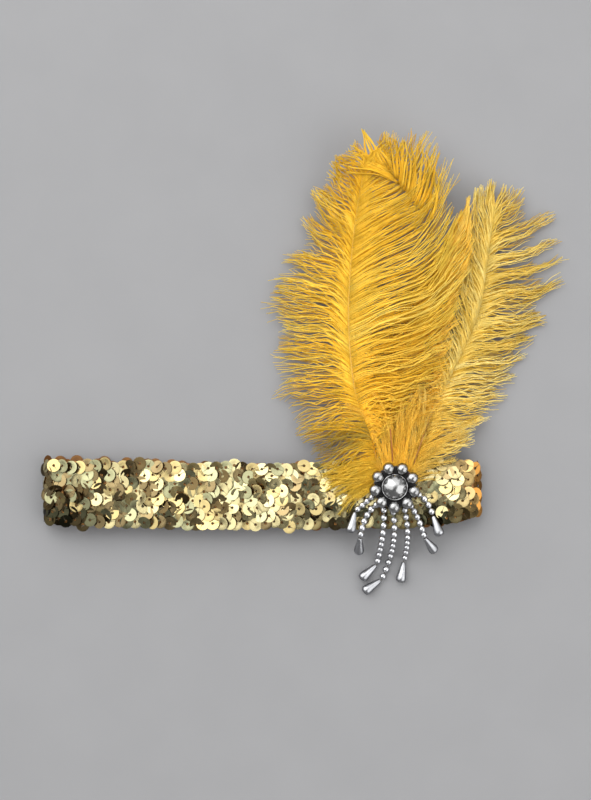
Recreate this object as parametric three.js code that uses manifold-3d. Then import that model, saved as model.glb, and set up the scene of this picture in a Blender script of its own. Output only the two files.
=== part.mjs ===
// A 1920s-style sequin headband: an elastic loop covered in gold sequins, lying flat on its back,
// with three ostrich feathers held under a felt-backed rosette of silver beads. Seven strings of
// small beads, each ending in a drop bead, spread from the rosette over the loop's lower edge.
// Millimetres. +X runs along the flattened loop, +Y towards the feather tips, +Z up from the table.
// The origin is the middle of the loop's underside.
import * as THREE from "three";
import { mergeVertices } from "three/addons/utils/BufferGeometryUtils.js";
import Module from "manifold-3d";

const wasm = await Module();
wasm.setup();

// Driving dimensions
const gap = 0.3; // clearance between pieces that touch
const band = {
  flatLength: 193, // of the flattened loop, outside
  width: 29,
  wall: 2.2, // elastic with its sequins
  foldHeight: 11, // of the flattened loop at its two folds, outside
  sag: 0.8, // of the upper layer between the folds
  scallop: 0.5, // how far the edge goes in and out along its row of sequins
  scallops: 35, // along each layer
  foldSteps: 8,
  dip: 1.1, // how far the upper layer's middle lies towards the strings
  frontSwayRight: 3.1, // sideways bow of the upper layer from its middle to the right fold
  frontSwayLeft: 1.8,
  backSwayRight: 2,
  backSwayLeft: 2.2, // the lower layer peeps out above the upper one at the left fold
};
const rosette = { x: 58.5, y: 3.3 };
const quillRadius = 0.9;
const felt = { radius: 9.3, thickness: 1.5, sides: 28 };
const cabochon = { radius: 5.7, rim: 2.2, rimWidth: 0.5, rimCrown: 0.1, dome: 3.0, sides: 20, rows: 5 };
const ringBeads = { count: 9, radius: 2.6, circle: 8.7, firstAngle: 108, sides: 10, stacks: 7 };
const stringBead = { sides: 10, thread: 0.4, shoulder: 0.5, pitchShare: 0.36, curvePoints: 24 };
const dropBead = { length: 9.2, radius: 2.2, neck: 0.8, widest: 0.8, standOff: 0.5, sides: 10 };
const overEdge = { start: 0.3, run: 17 }; // the strings come down to the table over this run
const shaft = { sides: 6, steps: 18, tipRadius: 0.4 };
const lock = { sides: 4, thickness: 0.9, fill: 0.5, leastHalfWidth: 1.2, droop: 0.38 };

// A lock of barbs and a drop bead as rows of their own shares: along from the root, and of the width
const lockOutline = [
  { along: 0.02, width: 0.6 },
  { along: 0.4, width: 1.0 },
  { along: 0.82, width: 0.8 },
];
const dropOutline = [
  { along: 0.2, width: 0.54 },
  { along: 0.5, width: 0.78 },
  { along: dropBead.widest, width: 1.0 },
  { along: 0.93, width: 0.84 },
  { along: 0.985, width: 0.5 },
];

// Strings of beads, from left to right. Places are measured from the rosette's centre:
// angle is where the string leaves the felt, via is its bend, end is its last bead,
// and heading is the way that its drop bead points, from +X.
const strings = [
  { angle: 203, viaX: -13.0, viaY: -7.1, endX: -17.1, endY: -10.7, beads: 4, radius: 1.35, heading: 256 },
  { angle: 228, viaX: -13.3, viaY: -10.3, endX: -14.9, endY: -22.2, beads: 6, radius: 1.5, heading: 267 },
  { angle: 242, viaX: -4.4, viaY: -22.2, endX: -7.2, endY: -35.0, beads: 9, radius: 1.48, heading: 222 },
  { angle: 266, viaX: 2.1, viaY: -28.1, endX: -5.2, endY: -41.8, beads: 11, radius: 1.4, heading: 214 },
  { angle: 296, viaX: 7.4, viaY: -21.9, endX: 4.9, endY: -33.4, beads: 9, radius: 1.38, heading: 260 },
  { angle: 312, viaX: 10.9, viaY: -12.9, endX: 13.3, endY: -22.4, beads: 6, radius: 1.42, heading: 308 },
  { angle: 345, viaX: 14.6, viaY: -4.8, endX: 16.8, endY: -12.4, beads: 4, radius: 1.5, heading: 290 },
];

// Feathers. spine rows run from the quill's foot to the feather's tip. left and right rows give, at a
// share of the spine, that side's lock length, the angles to the spine at which it leaves and arrives
// (degrees) and how high its end lies.
const feathers = [
  {
    name: "feather_right",
    locksPerSide: 14,
    spine: [
      { x: 61.7, y: 0.5, z: 11.9 },
      { x: 66.2, y: 11.0, z: 12.0 },
      { x: 68.7, y: 18.5, z: 11.8 },
      { x: 73.8, y: 32.3, z: 7.2 },
      { x: 88.0, y: 60.0, z: 4.2 },
      { x: 97.0, y: 82.0, z: 3.6 },
      { x: 100.5, y: 105.0, z: 3.8 },
      { x: 103.2, y: 126.0, z: 5.0 },
    ],
    left: [
      { at: 0.1, length: 3, leave: 50, arrive: 50, end: 12.0 },
      { at: 0.17, length: 9, leave: 60, arrive: 55, end: 8.0 },
      { at: 0.3, length: 19, leave: 51, arrive: 43, end: 2.6 },
      { at: 0.5, length: 25, leave: 54, arrive: 34, end: 1.6 },
      { at: 0.7, length: 27, leave: 43, arrive: 19, end: 1.6 },
      { at: 0.85, length: 28, leave: 34, arrive: 14, end: 2.0 },
      { at: 1, length: 12, leave: 14, arrive: 4, end: 4.5 },
    ],
    right: [
      { at: 0.1, length: 20, leave: 62, arrive: 75, end: 12.2 },
      { at: 0.17, length: 25, leave: 58, arrive: 72, end: 9.0 },
      { at: 0.3, length: 30, leave: 56, arrive: 60, end: 0.7 },
      { at: 0.5, length: 34, leave: 55, arrive: 46, end: 0.6 },
      { at: 0.7, length: 35, leave: 71, arrive: 58, end: 0.6 },
      { at: 0.82, length: 35, leave: 70, arrive: 57, end: 0.8 },
      { at: 0.92, length: 26, leave: 44, arrive: 56, end: 2.4 },
      { at: 1, length: 12, leave: 10, arrive: 12, end: 4.5 },
    ],
  },
  {
    name: "feather_middle",
    locksPerSide: 11,
    spine: [
      { x: 58.4, y: 0.0, z: 11.9 },
      { x: 57.6, y: 16.3, z: 12.2 },
      { x: 56.8, y: 34.8, z: 9.4 },
      { x: 60.6, y: 54.6, z: 8.4 },
      { x: 69.5, y: 78.0, z: 7.8 },
      { x: 80.5, y: 100.0, z: 7.6 },
      { x: 87.5, y: 120.0, z: 7.6 },
    ],
    left: [
      { at: 0.15, length: 5, leave: 45, arrive: 45, end: 11.6 },
      { at: 0.3, length: 13, leave: 60, arrive: 70, end: 7.8 },
      { at: 0.6, length: 18, leave: 40, arrive: 40, end: 7.2 },
      { at: 1, length: 10, leave: 22, arrive: 14, end: 7.4 },
    ],
    right: [
      { at: 0.15, length: 8, leave: 55, arrive: 65, end: 11.8 },
      { at: 0.3, length: 24, leave: 76, arrive: 86, end: 8.2 },
      { at: 0.6, length: 26, leave: 46, arrive: 20, end: 6.8 },
      { at: 0.85, length: 23, leave: 28, arrive: -6, end: 7.0 },
      { at: 1, length: 11, leave: 14, arrive: -8, end: 7.2 },
    ],
  },
  {
    name: "feather_left",
    locksPerSide: 17,
    spine: [
      { x: 55.1, y: 0.5, z: 11.9 },
      { x: 51.5, y: 12.8, z: 12.2 },
      { x: 47.5, y: 27.0, z: 13.6 },
      { x: 41.5, y: 44.4, z: 13.6 },
      { x: 38.5, y: 73.7, z: 13.0 },
      { x: 39.2, y: 98.0, z: 13.0 },
      { x: 42.0, y: 124.0, z: 14.0 },
      { x: 46.0, y: 147.0, z: 17.0 },
    ],
    left: [
      { at: 0.09, length: 25, leave: 97, arrive: 107, end: 11.9 },
      { at: 0.17, length: 25, leave: 92, arrive: 108, end: 11.7 },
      { at: 0.22, length: 31, leave: 75, arrive: 100, end: 5.0 },
      { at: 0.28, length: 34, leave: 62, arrive: 95, end: 1.4 },
      { at: 0.4, length: 37, leave: 52, arrive: 95, end: 0.6 },
      { at: 0.55, length: 40, leave: 47, arrive: 95, end: 0.6 },
      { at: 0.64, length: 28, leave: 47, arrive: 86, end: 1.6 },
      { at: 0.72, length: 29, leave: 46, arrive: 54, end: 2.6 },
      { at: 0.85, length: 23, leave: 49, arrive: 58, end: 7.5 },
      { at: 1, length: 11, leave: 40, arrive: 55, end: 15.0 },
    ],
    right: [
      { at: 0.09, length: 3, leave: 50, arrive: 50, end: 12.6 },
      { at: 0.14, length: 5, leave: 60, arrive: 60, end: 14.2 },
      { at: 0.19, length: 12, leave: 90, arrive: 105, end: 13.5 },
      { at: 0.25, length: 26, leave: 93, arrive: 102, end: 12.4 },
      { at: 0.31, length: 40, leave: 91, arrive: 85, end: 11.4 },
      { at: 0.4, length: 52, leave: 85, arrive: 58, end: 10.8 },
      { at: 0.5, length: 71, leave: 82, arrive: 32, end: 10.6 },
      { at: 0.67, length: 72, leave: 68, arrive: 15, end: 10.8 },
      { at: 0.84, length: 54, leave: 72, arrive: 12, end: 12.5 },
      { at: 1, length: 15, leave: 50, arrive: 0, end: 15.0 },
    ],
  },
];

const sequinGold = new THREE.MeshStandardMaterial({ color: 0xc9a860, metalness: 0.9, roughness: 0.3 });
const silver = new THREE.MeshStandardMaterial({ color: 0xc8c8cc, metalness: 1.0, roughness: 0.15 });
const blackFelt = new THREE.MeshStandardMaterial({ color: 0x101010, metalness: 0.0, roughness: 0.95 });
const featherGold = new THREE.MeshStandardMaterial({ color: 0xdfa83a, metalness: 0.0, roughness: 0.8 });

const bandStraight = (band.flatLength - band.foldHeight) / 2; // from the middle to where a fold starts

// Heights of the stack under the rosette
const bandTop = band.foldHeight - band.sag / 2;
const feltBottom = bandTop + gap + 2 * quillRadius + 2 * gap;
const feltTop = feltBottom + felt.thickness;
const bandLowerEdge = -band.width / 2 + frontSway(rosette.x) - rosette.y; // from the rosette's centre

const degrees = THREE.MathUtils.degToRad;

// A closed mesh as a manifold-3d solid, and back
function toSolid(geometry) {
  const bare = geometry.clone();
  bare.deleteAttribute("normal");
  bare.deleteAttribute("uv");
  const merged = mergeVertices(bare, 1e-4);
  const corners = merged.index.array;
  const triangles = [];
  for (let i = 0; i < corners.length; i += 3) {
    const [a, b, c] = [corners[i], corners[i + 1], corners[i + 2]];
    if (a !== b && b !== c && c !== a) triangles.push(a, b, c);
  }
  return new wasm.Manifold(
    new wasm.Mesh({
      numProp: 3,
      vertProperties: merged.attributes.position.array,
      triVerts: new Uint32Array(triangles),
    }),
  );
}

function toGeometry(solid) {
  const mesh = solid.getMesh();
  const geometry = new THREE.BufferGeometry();
  geometry.setAttribute("position", new THREE.BufferAttribute(mesh.vertProperties, 3));
  geometry.setIndex(new THREE.BufferAttribute(mesh.triVerts, 1));
  geometry.computeVertexNormals();
  return geometry;
}

function fuse(geometries) {
  return toGeometry(geometries.map(toSolid).reduce((whole, piece) => whole.add(piece)));
}

function profilePoints(rows) {
  return rows.map(([radius, height]) => new THREE.Vector2(radius, height));
}

// A turned shape along +Y, from rows of [radius, height], laid along a curve.
// The shape's x lies sideways and level, and its z stands up from the curve.
function turnedAlong(curve, profile, sides, flatten = 1) {
  const geometry = new THREE.LatheGeometry(profilePoints(profile), sides);
  const length = curve.getLength();
  const place = geometry.attributes.position;
  for (let i = 0; i < place.count; i++) {
    const along = THREE.MathUtils.clamp(place.getY(i) / length, 0, 1);
    const tangent = curve.getTangentAt(along);
    const sideways = new THREE.Vector3(tangent.y, -tangent.x, 0).normalize();
    const upwards = new THREE.Vector3().crossVectors(sideways, tangent);
    const point = curve.getPointAt(along);
    point.addScaledVector(sideways, place.getX(i));
    point.addScaledVector(upwards, place.getZ(i) * flatten);
    place.setXYZ(i, point.x, point.y, point.z);
  }
  return geometry;
}

function named(name, geometry, material) {
  const mesh = new THREE.Mesh(geometry, material);
  mesh.name = name;
  return mesh;
}

// The loop

function frontSway(x) {
  const share = (2 * x) / band.flatLength;
  return (x > 0 ? band.frontSwayRight : band.frontSwayLeft) * share * share - band.dip;
}

function backSway(x) {
  const share = (2 * x) / band.flatLength;
  return (x > 0 ? band.backSwayRight : band.backSwayLeft) * share * share;
}

// Points round the flattened loop in X and Z, the wall's middle moved out by offset: along the
// underside and round the right fold, then back along the upper layer and round the left fold.
function loopOutline(offset) {
  const radius = (band.foldHeight - band.wall) / 2 + offset;
  const middle = band.foldHeight / 2;
  const points = [];
  for (const way of [1, -1]) {
    for (let i = 0; i < 2 * band.scallops; i++) {
      const x = (i / band.scallops - 1) * bandStraight;
      const sag = way < 0 ? band.sag * (1 - (x / bandStraight) ** 2) : 0;
      points.push(new THREE.Vector2(way * x, middle - way * radius - sag));
    }
    for (let i = 0; i < band.foldSteps; i++) {
      const turn = Math.PI * (i / band.foldSteps - 0.5);
      const x = bandStraight + radius * Math.cos(turn);
      points.push(new THREE.Vector2(way * x, middle + way * radius * Math.sin(turn)));
    }
  }
  return points;
}

// The wall's section, corner by corner round it: side is 1 on the loop's outside and -1 on its inside,
// across is 1 at the upper edge and -1 at the lower.
const bandCorners = [
  { side: 1, across: -1 },
  { side: -1, across: -1 },
  { side: -1, across: 1 },
  { side: 1, across: 1 },
];

// The loop: a ring with a four-cornered section, bent to the flattened outline
function bandGeometry() {
  const outside = loopOutline(band.wall / 2);
  const inside = loopOutline(-band.wall / 2);
  const count = outside.length;
  const geometry = new THREE.TorusGeometry(1, 0.5, bandCorners.length, count);
  const place = geometry.attributes.position;
  for (let i = 0; i < place.count; i++) {
    const { side, across } = bandCorners[Math.floor(i / (count + 1)) % bandCorners.length];
    const outline = side > 0 ? outside : inside;
    const { x, y: z } = outline[(i % (count + 1)) % count];
    const scallop = band.scallop * Math.cos((Math.PI * band.scallops * x) / bandStraight);
    const sway = THREE.MathUtils.lerp(backSway(x), frontSway(x), z / band.foldHeight);
    place.setXYZ(i, x, across * (band.width / 2 + scallop) + sway, z);
  }
  geometry.computeVertexNormals();
  return geometry;
}

// The rosette

function cabochonGeometry() {
  const { radius, rim, rimWidth, rimCrown, dome, rows } = cabochon;
  const domeRadius = radius - rimWidth;
  const points = [[0, 0], [radius, 0], [radius, rim], [domeRadius, rim + rimCrown]];
  for (let i = 1; i < rows; i++) {
    const turn = (Math.PI / 2) * (i / rows);
    points.push([domeRadius * Math.cos(turn), rim + dome * Math.sin(turn)]);
  }
  points.push([0, rim + dome]);
  return new THREE.LatheGeometry(profilePoints(points), cabochon.sides).rotateX(Math.PI / 2);
}

function ringBead(index) {
  const angle = degrees(ringBeads.firstAngle + (360 / ringBeads.count) * index);
  const geometry = new THREE.SphereGeometry(ringBeads.radius, ringBeads.sides, ringBeads.stacks);
  const bead = named(`ring_bead_${index + 1}`, geometry, silver);
  bead.position.set(
    ringBeads.circle * Math.cos(angle),
    ringBeads.circle * Math.sin(angle),
    feltTop + gap + ringBeads.radius,
  );
  return bead;
}

// Height of a bead's middle: it lies on the loop, then comes down over the edge to the table
function beadHeight(y, radius) {
  const out = bandLowerEdge - overEdge.start - y;
  const onBand = bandTop + 2 * gap + radius;
  return THREE.MathUtils.lerp(onBand, radius, THREE.MathUtils.smoothstep(out, 0, overEdge.run));
}

function stringCurve(row) {
  const start = felt.radius + gap;
  const plan = new THREE.QuadraticBezierCurve(
    new THREE.Vector2(start * Math.cos(degrees(row.angle)), start * Math.sin(degrees(row.angle))),
    new THREE.Vector2(row.viaX, row.viaY),
    new THREE.Vector2(row.endX, row.endY),
  );
  const points = plan.getSpacedPoints(stringBead.curvePoints);
  return new THREE.CatmullRomCurve3(
    points.map(({ x, y }) => new THREE.Vector3(x, y, beadHeight(y, row.radius))),
  );
}

// One string: its beads threaded in a row, fused by the thread
function beadString(row, index) {
  const curve = stringCurve(row);
  const pitch = curve.getLength() / row.beads;
  const shoulder = Math.min(row.radius * stringBead.shoulder, pitch * stringBead.pitchShare);
  const profile = [[0, 0]];
  for (let i = 0; i < row.beads; i++) {
    const middle = (i + 0.5) * pitch;
    profile.push([stringBead.thread, i * pitch]);
    profile.push([row.radius, middle - shoulder]);
    profile.push([row.radius, middle + shoulder]);
  }
  profile.push([stringBead.thread, row.beads * pitch], [0, row.beads * pitch]);
  return named(`bead_string_${index + 1}`, turnedAlong(curve, profile, stringBead.sides), silver);
}

// The drop at a string's end: its narrow end by the last bead, its round end away from it
function dropOn(row, index) {
  const { length, radius, neck, widest, standOff, sides } = dropBead;
  const foot = stringCurve(row).getPointAt(1);
  const heading = degrees(row.heading);
  const direction = new THREE.Vector3(Math.cos(heading), Math.sin(heading), 0);
  const widestRun = standOff + widest * length;
  const widestHeight = beadHeight(foot.y + widestRun * direction.y, radius) + gap / 2;
  direction.z = (widestHeight - foot.z) / widestRun;
  direction.normalize();
  const profile = dropOutline.map(({ along, width }) => [radius * width, length * along]);
  const points = profilePoints([[0, 0], [neck, 0], ...profile, [0, length]]);
  const bead = named(`drop_bead_${index + 1}`, new THREE.LatheGeometry(points, sides), silver);
  bead.position.copy(foot).addScaledVector(direction, standOff);
  bead.quaternion.setFromUnitVectors(new THREE.Vector3(0, 1, 0), direction);
  return bead;
}

function rosetteGroup() {
  const group = new THREE.Group();
  group.position.set(rosette.x, rosette.y, 0);
  const disc = new THREE.CylinderGeometry(felt.radius, felt.radius, felt.thickness, felt.sides);
  const backing = named("felt_backing", disc.rotateX(Math.PI / 2), blackFelt);
  backing.position.z = (feltBottom + feltTop) / 2;
  const centre = named("centre_cabochon", cabochonGeometry(), silver);
  centre.position.z = feltTop + gap;
  group.add(backing, centre);
  for (let i = 0; i < ringBeads.count; i++) group.add(ringBead(i));
  strings.forEach((row, index) => group.add(beadString(row, index), dropOn(row, index)));
  return group;
}

// The feathers

// A side's row between the rows of its table
function rowAt(table, at) {
  const above = table.findIndex((row) => row.at >= at);
  if (above <= 0) return table[0];
  const [low, high] = [table[above - 1], table[above]];
  const share = (at - low.at) / (high.at - low.at);
  const between = (key) => THREE.MathUtils.lerp(low[key], high[key], share);
  return Object.fromEntries(Object.keys(low).map((key) => [key, between(key)]));
}

// One lock of barbs: a flat tapered blade that leaves the spine at one angle and arrives at another.
// way is 1 on the left of the spine and -1 on the right.
function lockGeometry(root, tangent, way, row, pitch) {
  const outward = (angle) => {
    const level = new THREE.Vector3(tangent.x, tangent.y, 0).normalize();
    return level.applyAxisAngle(new THREE.Vector3(0, 0, 1), way * degrees(angle));
  };
  const knee = root.clone().addScaledVector(outward(row.leave), row.length / 2);
  const end = knee.clone().addScaledVector(outward(row.arrive), row.length / 2);
  knee.z = THREE.MathUtils.lerp(root.z, row.end, lock.droop);
  end.z = row.end;
  const curve = new THREE.QuadraticBezierCurve3(root, knee, end);
  const reach = curve.getLength();
  const sweep = degrees((row.leave + row.arrive) / 2);
  const halfWidth = Math.max(lock.fill * pitch * Math.sin(sweep), lock.leastHalfWidth);
  const profile = lockOutline.map(({ along, width }) => [halfWidth * width, reach * along]);
  const flatten = lock.thickness / 2 / halfWidth;
  return turnedAlong(curve, [[0, 0], ...profile, [0, reach]], lock.sides, flatten);
}

function feather({ name, spine, left, right, locksPerSide }) {
  const places = spine.map(({ x, y, z }) => new THREE.Vector3(x, y, z));
  const curve = new THREE.CatmullRomCurve3(places, false, "centripetal");
  const length = curve.getLength();
  const quill = [[0, 0]];
  for (let i = 0; i <= shaft.steps; i++) {
    const share = i / shaft.steps;
    quill.push([THREE.MathUtils.lerp(quillRadius, shaft.tipRadius, share), share * length]);
  }
  quill.push([0, length]);
  const pieces = [turnedAlong(curve, quill, shaft.sides)];
  const first = left[0].at;
  const last = 0.999; // just short of the tip, so that the last lock starts inside the shaft
  for (let i = 0; i <= locksPerSide; i++) {
    const at = THREE.MathUtils.lerp(first, last, i / locksPerSide);
    const root = curve.getPointAt(at);
    const tangent = curve.getTangentAt(at);
    const pitch = ((last - first) * length) / locksPerSide;
    pieces.push(lockGeometry(root, tangent, 1, rowAt(left, at), pitch));
    pieces.push(lockGeometry(root, tangent, -1, rowAt(right, at), pitch));
  }
  return named(name, fuse(pieces), featherGold);
}

const headband = new THREE.Group();
headband.add(named("sequin_band", bandGeometry(), sequinGold), rosetteGroup());
feathers.forEach((row) => headband.add(feather(row)));

export default headband;
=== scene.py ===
import math

import bpy
import numpy as np
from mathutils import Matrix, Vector


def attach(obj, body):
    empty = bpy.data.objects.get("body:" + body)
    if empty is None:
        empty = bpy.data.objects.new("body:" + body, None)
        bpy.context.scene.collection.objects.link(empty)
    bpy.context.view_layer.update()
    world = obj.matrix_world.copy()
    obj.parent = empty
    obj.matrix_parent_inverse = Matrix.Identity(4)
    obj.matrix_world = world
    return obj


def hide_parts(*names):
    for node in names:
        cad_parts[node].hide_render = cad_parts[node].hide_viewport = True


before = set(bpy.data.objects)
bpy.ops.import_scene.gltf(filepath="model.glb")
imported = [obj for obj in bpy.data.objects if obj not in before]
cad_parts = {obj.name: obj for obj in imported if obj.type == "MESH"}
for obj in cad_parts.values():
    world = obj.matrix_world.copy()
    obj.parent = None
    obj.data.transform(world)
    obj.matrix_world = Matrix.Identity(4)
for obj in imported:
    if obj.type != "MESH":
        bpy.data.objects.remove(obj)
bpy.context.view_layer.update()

mm = 0.001
draw = np.random.default_rng(1925)
scene = bpy.context.scene
print("frame loaded,", len(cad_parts), "solids")


# camera, straight down on the headband as it lies

photo = {"width": 591, "height": 800, "mmPerPixel": 0.44, "zeroX": 261, "zeroY": 494}
lens = {"focal": 85, "sensor": 36, "sharpHeight": 10, "clipStart": 0.02}


def placeCamera():
    data = bpy.data.cameras.new("camera")
    data.lens = lens["focal"]
    data.sensor_width = lens["sensor"]
    data.clip_start = lens["clipStart"]
    tall = photo["height"] * photo["mmPerPixel"]
    eye = bpy.data.objects.new("camera", data)
    eye.location = (
        (photo["width"] / 2 - photo["zeroX"]) * photo["mmPerPixel"] * mm,
        (photo["zeroY"] - photo["height"] / 2) * photo["mmPerPixel"] * mm,
        (lens["sharpHeight"] + tall * lens["focal"] / lens["sensor"]) * mm,
    )
    scene.collection.objects.link(eye)
    scene.camera = eye


placeCamera()


# small tools for meshes; every length below is in millimetres until makePiece

fineSteps = 48     # between two points of a smooth line


def unit(vectors):
    return vectors / (np.linalg.norm(vectors, axis=-1, keepdims=True) + 1e-9)


def fade(value, start, run):
    # 0 at the start, 1 at the end of the run, and even between
    return np.clip((value - start) / run, 0, 1)


def bowed(start, knee, stop, u):
    # a curve from start to stop that leaves and arrives in line with the knee
    return (1 - u) ** 2 * start + 2 * u * (1 - u) * knee + u ** 2 * stop


def wave(turns):
    return np.sin(2 * math.pi * turns)


def distances(line):
    return np.concatenate([[0], np.cumsum(np.linalg.norm(np.diff(line, axis=0), axis=1))])


def repeated(triangles, count, each):
    # the triangles of one shape, again for every copy of its points
    return (triangles[None] + (np.arange(count) * each)[:, None, None]).reshape(-1, 3)


def gridTriangles(rows, columns, closedRows):
    low = np.arange(rows if closedRows else rows - 1)[:, None]
    high = (low + 1) % rows
    left = np.arange(columns)[None, :]
    right = (left + 1) % columns
    a, b = low * columns + left, low * columns + right
    c, d = high * columns + right, high * columns + left
    return np.concatenate([np.stack([a, b, c], -1).reshape(-1, 3), np.stack([a, c, d], -1).reshape(-1, 3)])


def spin(profile, sides):
    # turns (radius, height) rows round the z axis
    rows = np.array(profile, float)
    turn = np.arange(sides) * 2 * math.pi / sides
    return np.stack([
        rows[:, :1] * np.cos(turn), rows[:, :1] * np.sin(turn), rows[:, 1:] + 0 * turn,
    ], -1).reshape(-1, 3)


def latheLoop(profile, sides):
    # the profile is a closed loop beside the axis, so the solid has a bore
    return spin(profile, sides), gridTriangles(len(profile), sides, True)


def latheSolid(profile, sides):
    # the first and last rows are points on the axis
    rings = spin(profile[1:-1], sides)
    points = np.vstack([[[0, 0, profile[0][1]]], rings, [[0, 0, profile[-1][1]]]])
    wall = gridTriangles(len(profile) - 2, sides, False) + 1
    here = np.arange(sides)
    after = (here + 1) % sides
    foot = np.stack([0 * here, after + 1, here + 1], -1)
    top = len(points) - 1 - sides
    head = np.stack([top + here, top + after, 0 * here + len(points) - 1], -1)
    return points, np.concatenate([wall, foot, head])


def joinShapes(shapes):
    points, triangles, start = [], [], 0
    for shapePoints, shapeTriangles in shapes:
        points.append(shapePoints)
        triangles.append(shapeTriangles + start)
        start += len(shapePoints)
    return np.concatenate(points), np.concatenate(triangles)


def tubes(paths, radii, sides):
    # one closed tapered tube for each path, with a point at both ends
    count, stations = paths.shape[:2]
    run = unit(np.gradient(paths, axis=1))
    across = unit(np.cross(run, [0.0, 0.0, 1.0]))
    rise = np.cross(across, run)
    turn = np.arange(sides) * 2 * math.pi / sides + math.pi / 2
    ring = np.cos(turn)[:, None] * across[:, :, None, :] + np.sin(turn)[:, None] * rise[:, :, None, :]
    rings = (paths[:, :, None, :] + radii[:, :, None, None] * ring).reshape(count, -1, 3)
    points = np.concatenate([paths[:, :1], rings, paths[:, -1:]], axis=1)
    here = np.arange(sides)
    after = (here + 1) % sides
    last = stations * sides + 1
    one = np.concatenate([
        gridTriangles(stations, sides, False) + 1,
        np.stack([0 * here, after + 1, here + 1], -1),
        np.stack([last - sides + here, last - sides + after, 0 * here + last], -1),
    ])
    return points.reshape(-1, 3), repeated(one, count, points.shape[1])


def tubeShares(share, sides):
    # the place along its tube of every point
    return np.concatenate([[0], np.repeat(share, sides), [1]])


def aim(points, direction, centre):
    # turns a lathed shape so that its z axis follows the direction
    forward = unit(np.array(direction, float))
    helper = np.array([0.0, 0.0, 1.0]) if abs(forward[2]) < 0.9 else np.array([1.0, 0.0, 0.0])
    side = unit(np.cross(helper, forward))
    return points @ np.stack([side, np.cross(forward, side), forward]) + np.array(centre)


def smoothLine(rows, count):
    # a centripetal curve through the rows, cut into equal steps
    knots = np.array(rows, float)
    knots = np.vstack([2 * knots[0] - knots[1], knots, 2 * knots[-1] - knots[-2]])
    time = np.concatenate([[0], np.cumsum(np.linalg.norm(np.diff(knots, axis=0), axis=1) ** 0.5)])
    fine = []
    for i in range(1, len(knots) - 2):
        t = np.linspace(time[i], time[i + 1], fineSteps, endpoint=False)[:, None]

        def between(a, b, pa, pb):
            return ((time[b] - t) * pa + (t - time[a]) * pb) / (time[b] - time[a])

        a1 = between(i - 1, i, knots[i - 1], knots[i])
        a2 = between(i, i + 1, knots[i], knots[i + 1])
        a3 = between(i + 1, i + 2, knots[i + 1], knots[i + 2])
        b1 = between(i - 1, i + 1, a1, a2)
        b2 = between(i, i + 2, a2, a3)
        fine.append(between(i, i + 1, b1, b2))
    fine = np.vstack(fine + [knots[-2:-1]])
    gone = distances(fine)
    even = np.linspace(0, gone[-1], count)
    return np.stack([np.interp(even, gone, fine[:, k]) for k in range(3)], -1), gone[-1]


def makePiece(name, shape, materials, nodes=(), tint=None, materialOf=None, sharpAngle=None):
    points, triangles = shape
    corner = points[triangles]
    if np.einsum("ij,ij->", np.cross(corner[:, 0], corner[:, 1]), corner[:, 2]) < 0:
        triangles = triangles[:, ::-1]
    mesh = bpy.data.meshes.new(name)
    mesh.from_pydata((points * mm).tolist(), [], triangles.tolist())
    mesh.shade_smooth()
    if sharpAngle:
        mesh.set_sharp_from_angle(angle=math.radians(sharpAngle))
    if tint is not None:
        layer = mesh.attributes.new("tint", "FLOAT_COLOR", "POINT")
        colours = np.hstack([tint, np.ones((len(tint), 1))])
        layer.data.foreach_set("color", colours.astype(np.float32).ravel())
    for material in materials:
        mesh.materials.append(material)
    if materialOf is not None:
        mesh.polygons.foreach_set("material_index", materialOf.astype(np.int32))
    piece = bpy.data.objects.new(name, mesh)
    scene.collection.objects.link(piece)
    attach(piece, "root")
    if nodes:
        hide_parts(*nodes)
    print(name, len(triangles), "triangles")
    return piece


# finishes

def newFinish(name, roughness, metallic=0.0, sheen=0.0, sheenTint=(1, 1, 1)):
    material = bpy.data.materials.new(name)
    material.use_nodes = True
    tree = material.node_tree
    shader = tree.nodes["Principled BSDF"]
    shader.inputs["Roughness"].default_value = roughness
    shader.inputs["Metallic"].default_value = metallic
    shader.inputs["Sheen Weight"].default_value = sheen
    shader.inputs["Sheen Tint"].default_value = (*sheenTint, 1)
    return material, tree, shader


def grain(tree, scale, detail=3.0):
    place = tree.nodes.new("ShaderNodeTexCoord")
    noise = tree.nodes.new("ShaderNodeTexNoise")
    noise.inputs["Scale"].default_value = scale
    noise.inputs["Detail"].default_value = detail
    tree.links.new(place.outputs["Object"], noise.inputs["Vector"])
    return noise.outputs["Fac"]


def spread(tree, value, low, high, start=0.3, stop=0.7):
    span = tree.nodes.new("ShaderNodeMapRange")
    for socket, number in (("From Min", start), ("From Max", stop), ("To Min", low), ("To Max", high)):
        span.inputs[socket].default_value = number
    tree.links.new(value, span.inputs["Value"])
    return span.outputs["Result"]


def bumpy(tree, shader, height, strength, depth):
    bump = tree.nodes.new("ShaderNodeBump")
    bump.inputs["Strength"].default_value = strength
    bump.inputs["Distance"].default_value = depth * mm
    tree.links.new(height, bump.inputs["Height"])
    tree.links.new(bump.outputs["Normal"], shader.inputs["Normal"])


def tinted(tree, shader, value):
    # the tint stored on the mesh, lighter and darker with the grain
    stored = tree.nodes.new("ShaderNodeAttribute")
    stored.attribute_name = "tint"
    shade = tree.nodes.new("ShaderNodeHueSaturation")
    tree.links.new(stored.outputs["Color"], shade.inputs["Color"])
    tree.links.new(value, shade.inputs["Value"])
    tree.links.new(shade.outputs["Color"], shader.inputs["Base Color"])


def twoTone(tree, shader, value, dark, light):
    ramp = tree.nodes.new("ShaderNodeValToRGB")
    ramp.color_ramp.elements[0].color = (*dark, 1)
    ramp.color_ramp.elements[1].color = (*light, 1)
    tree.links.new(value, ramp.inputs["Fac"])
    tree.links.new(ramp.outputs["Color"], shader.inputs["Base Color"])


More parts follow.
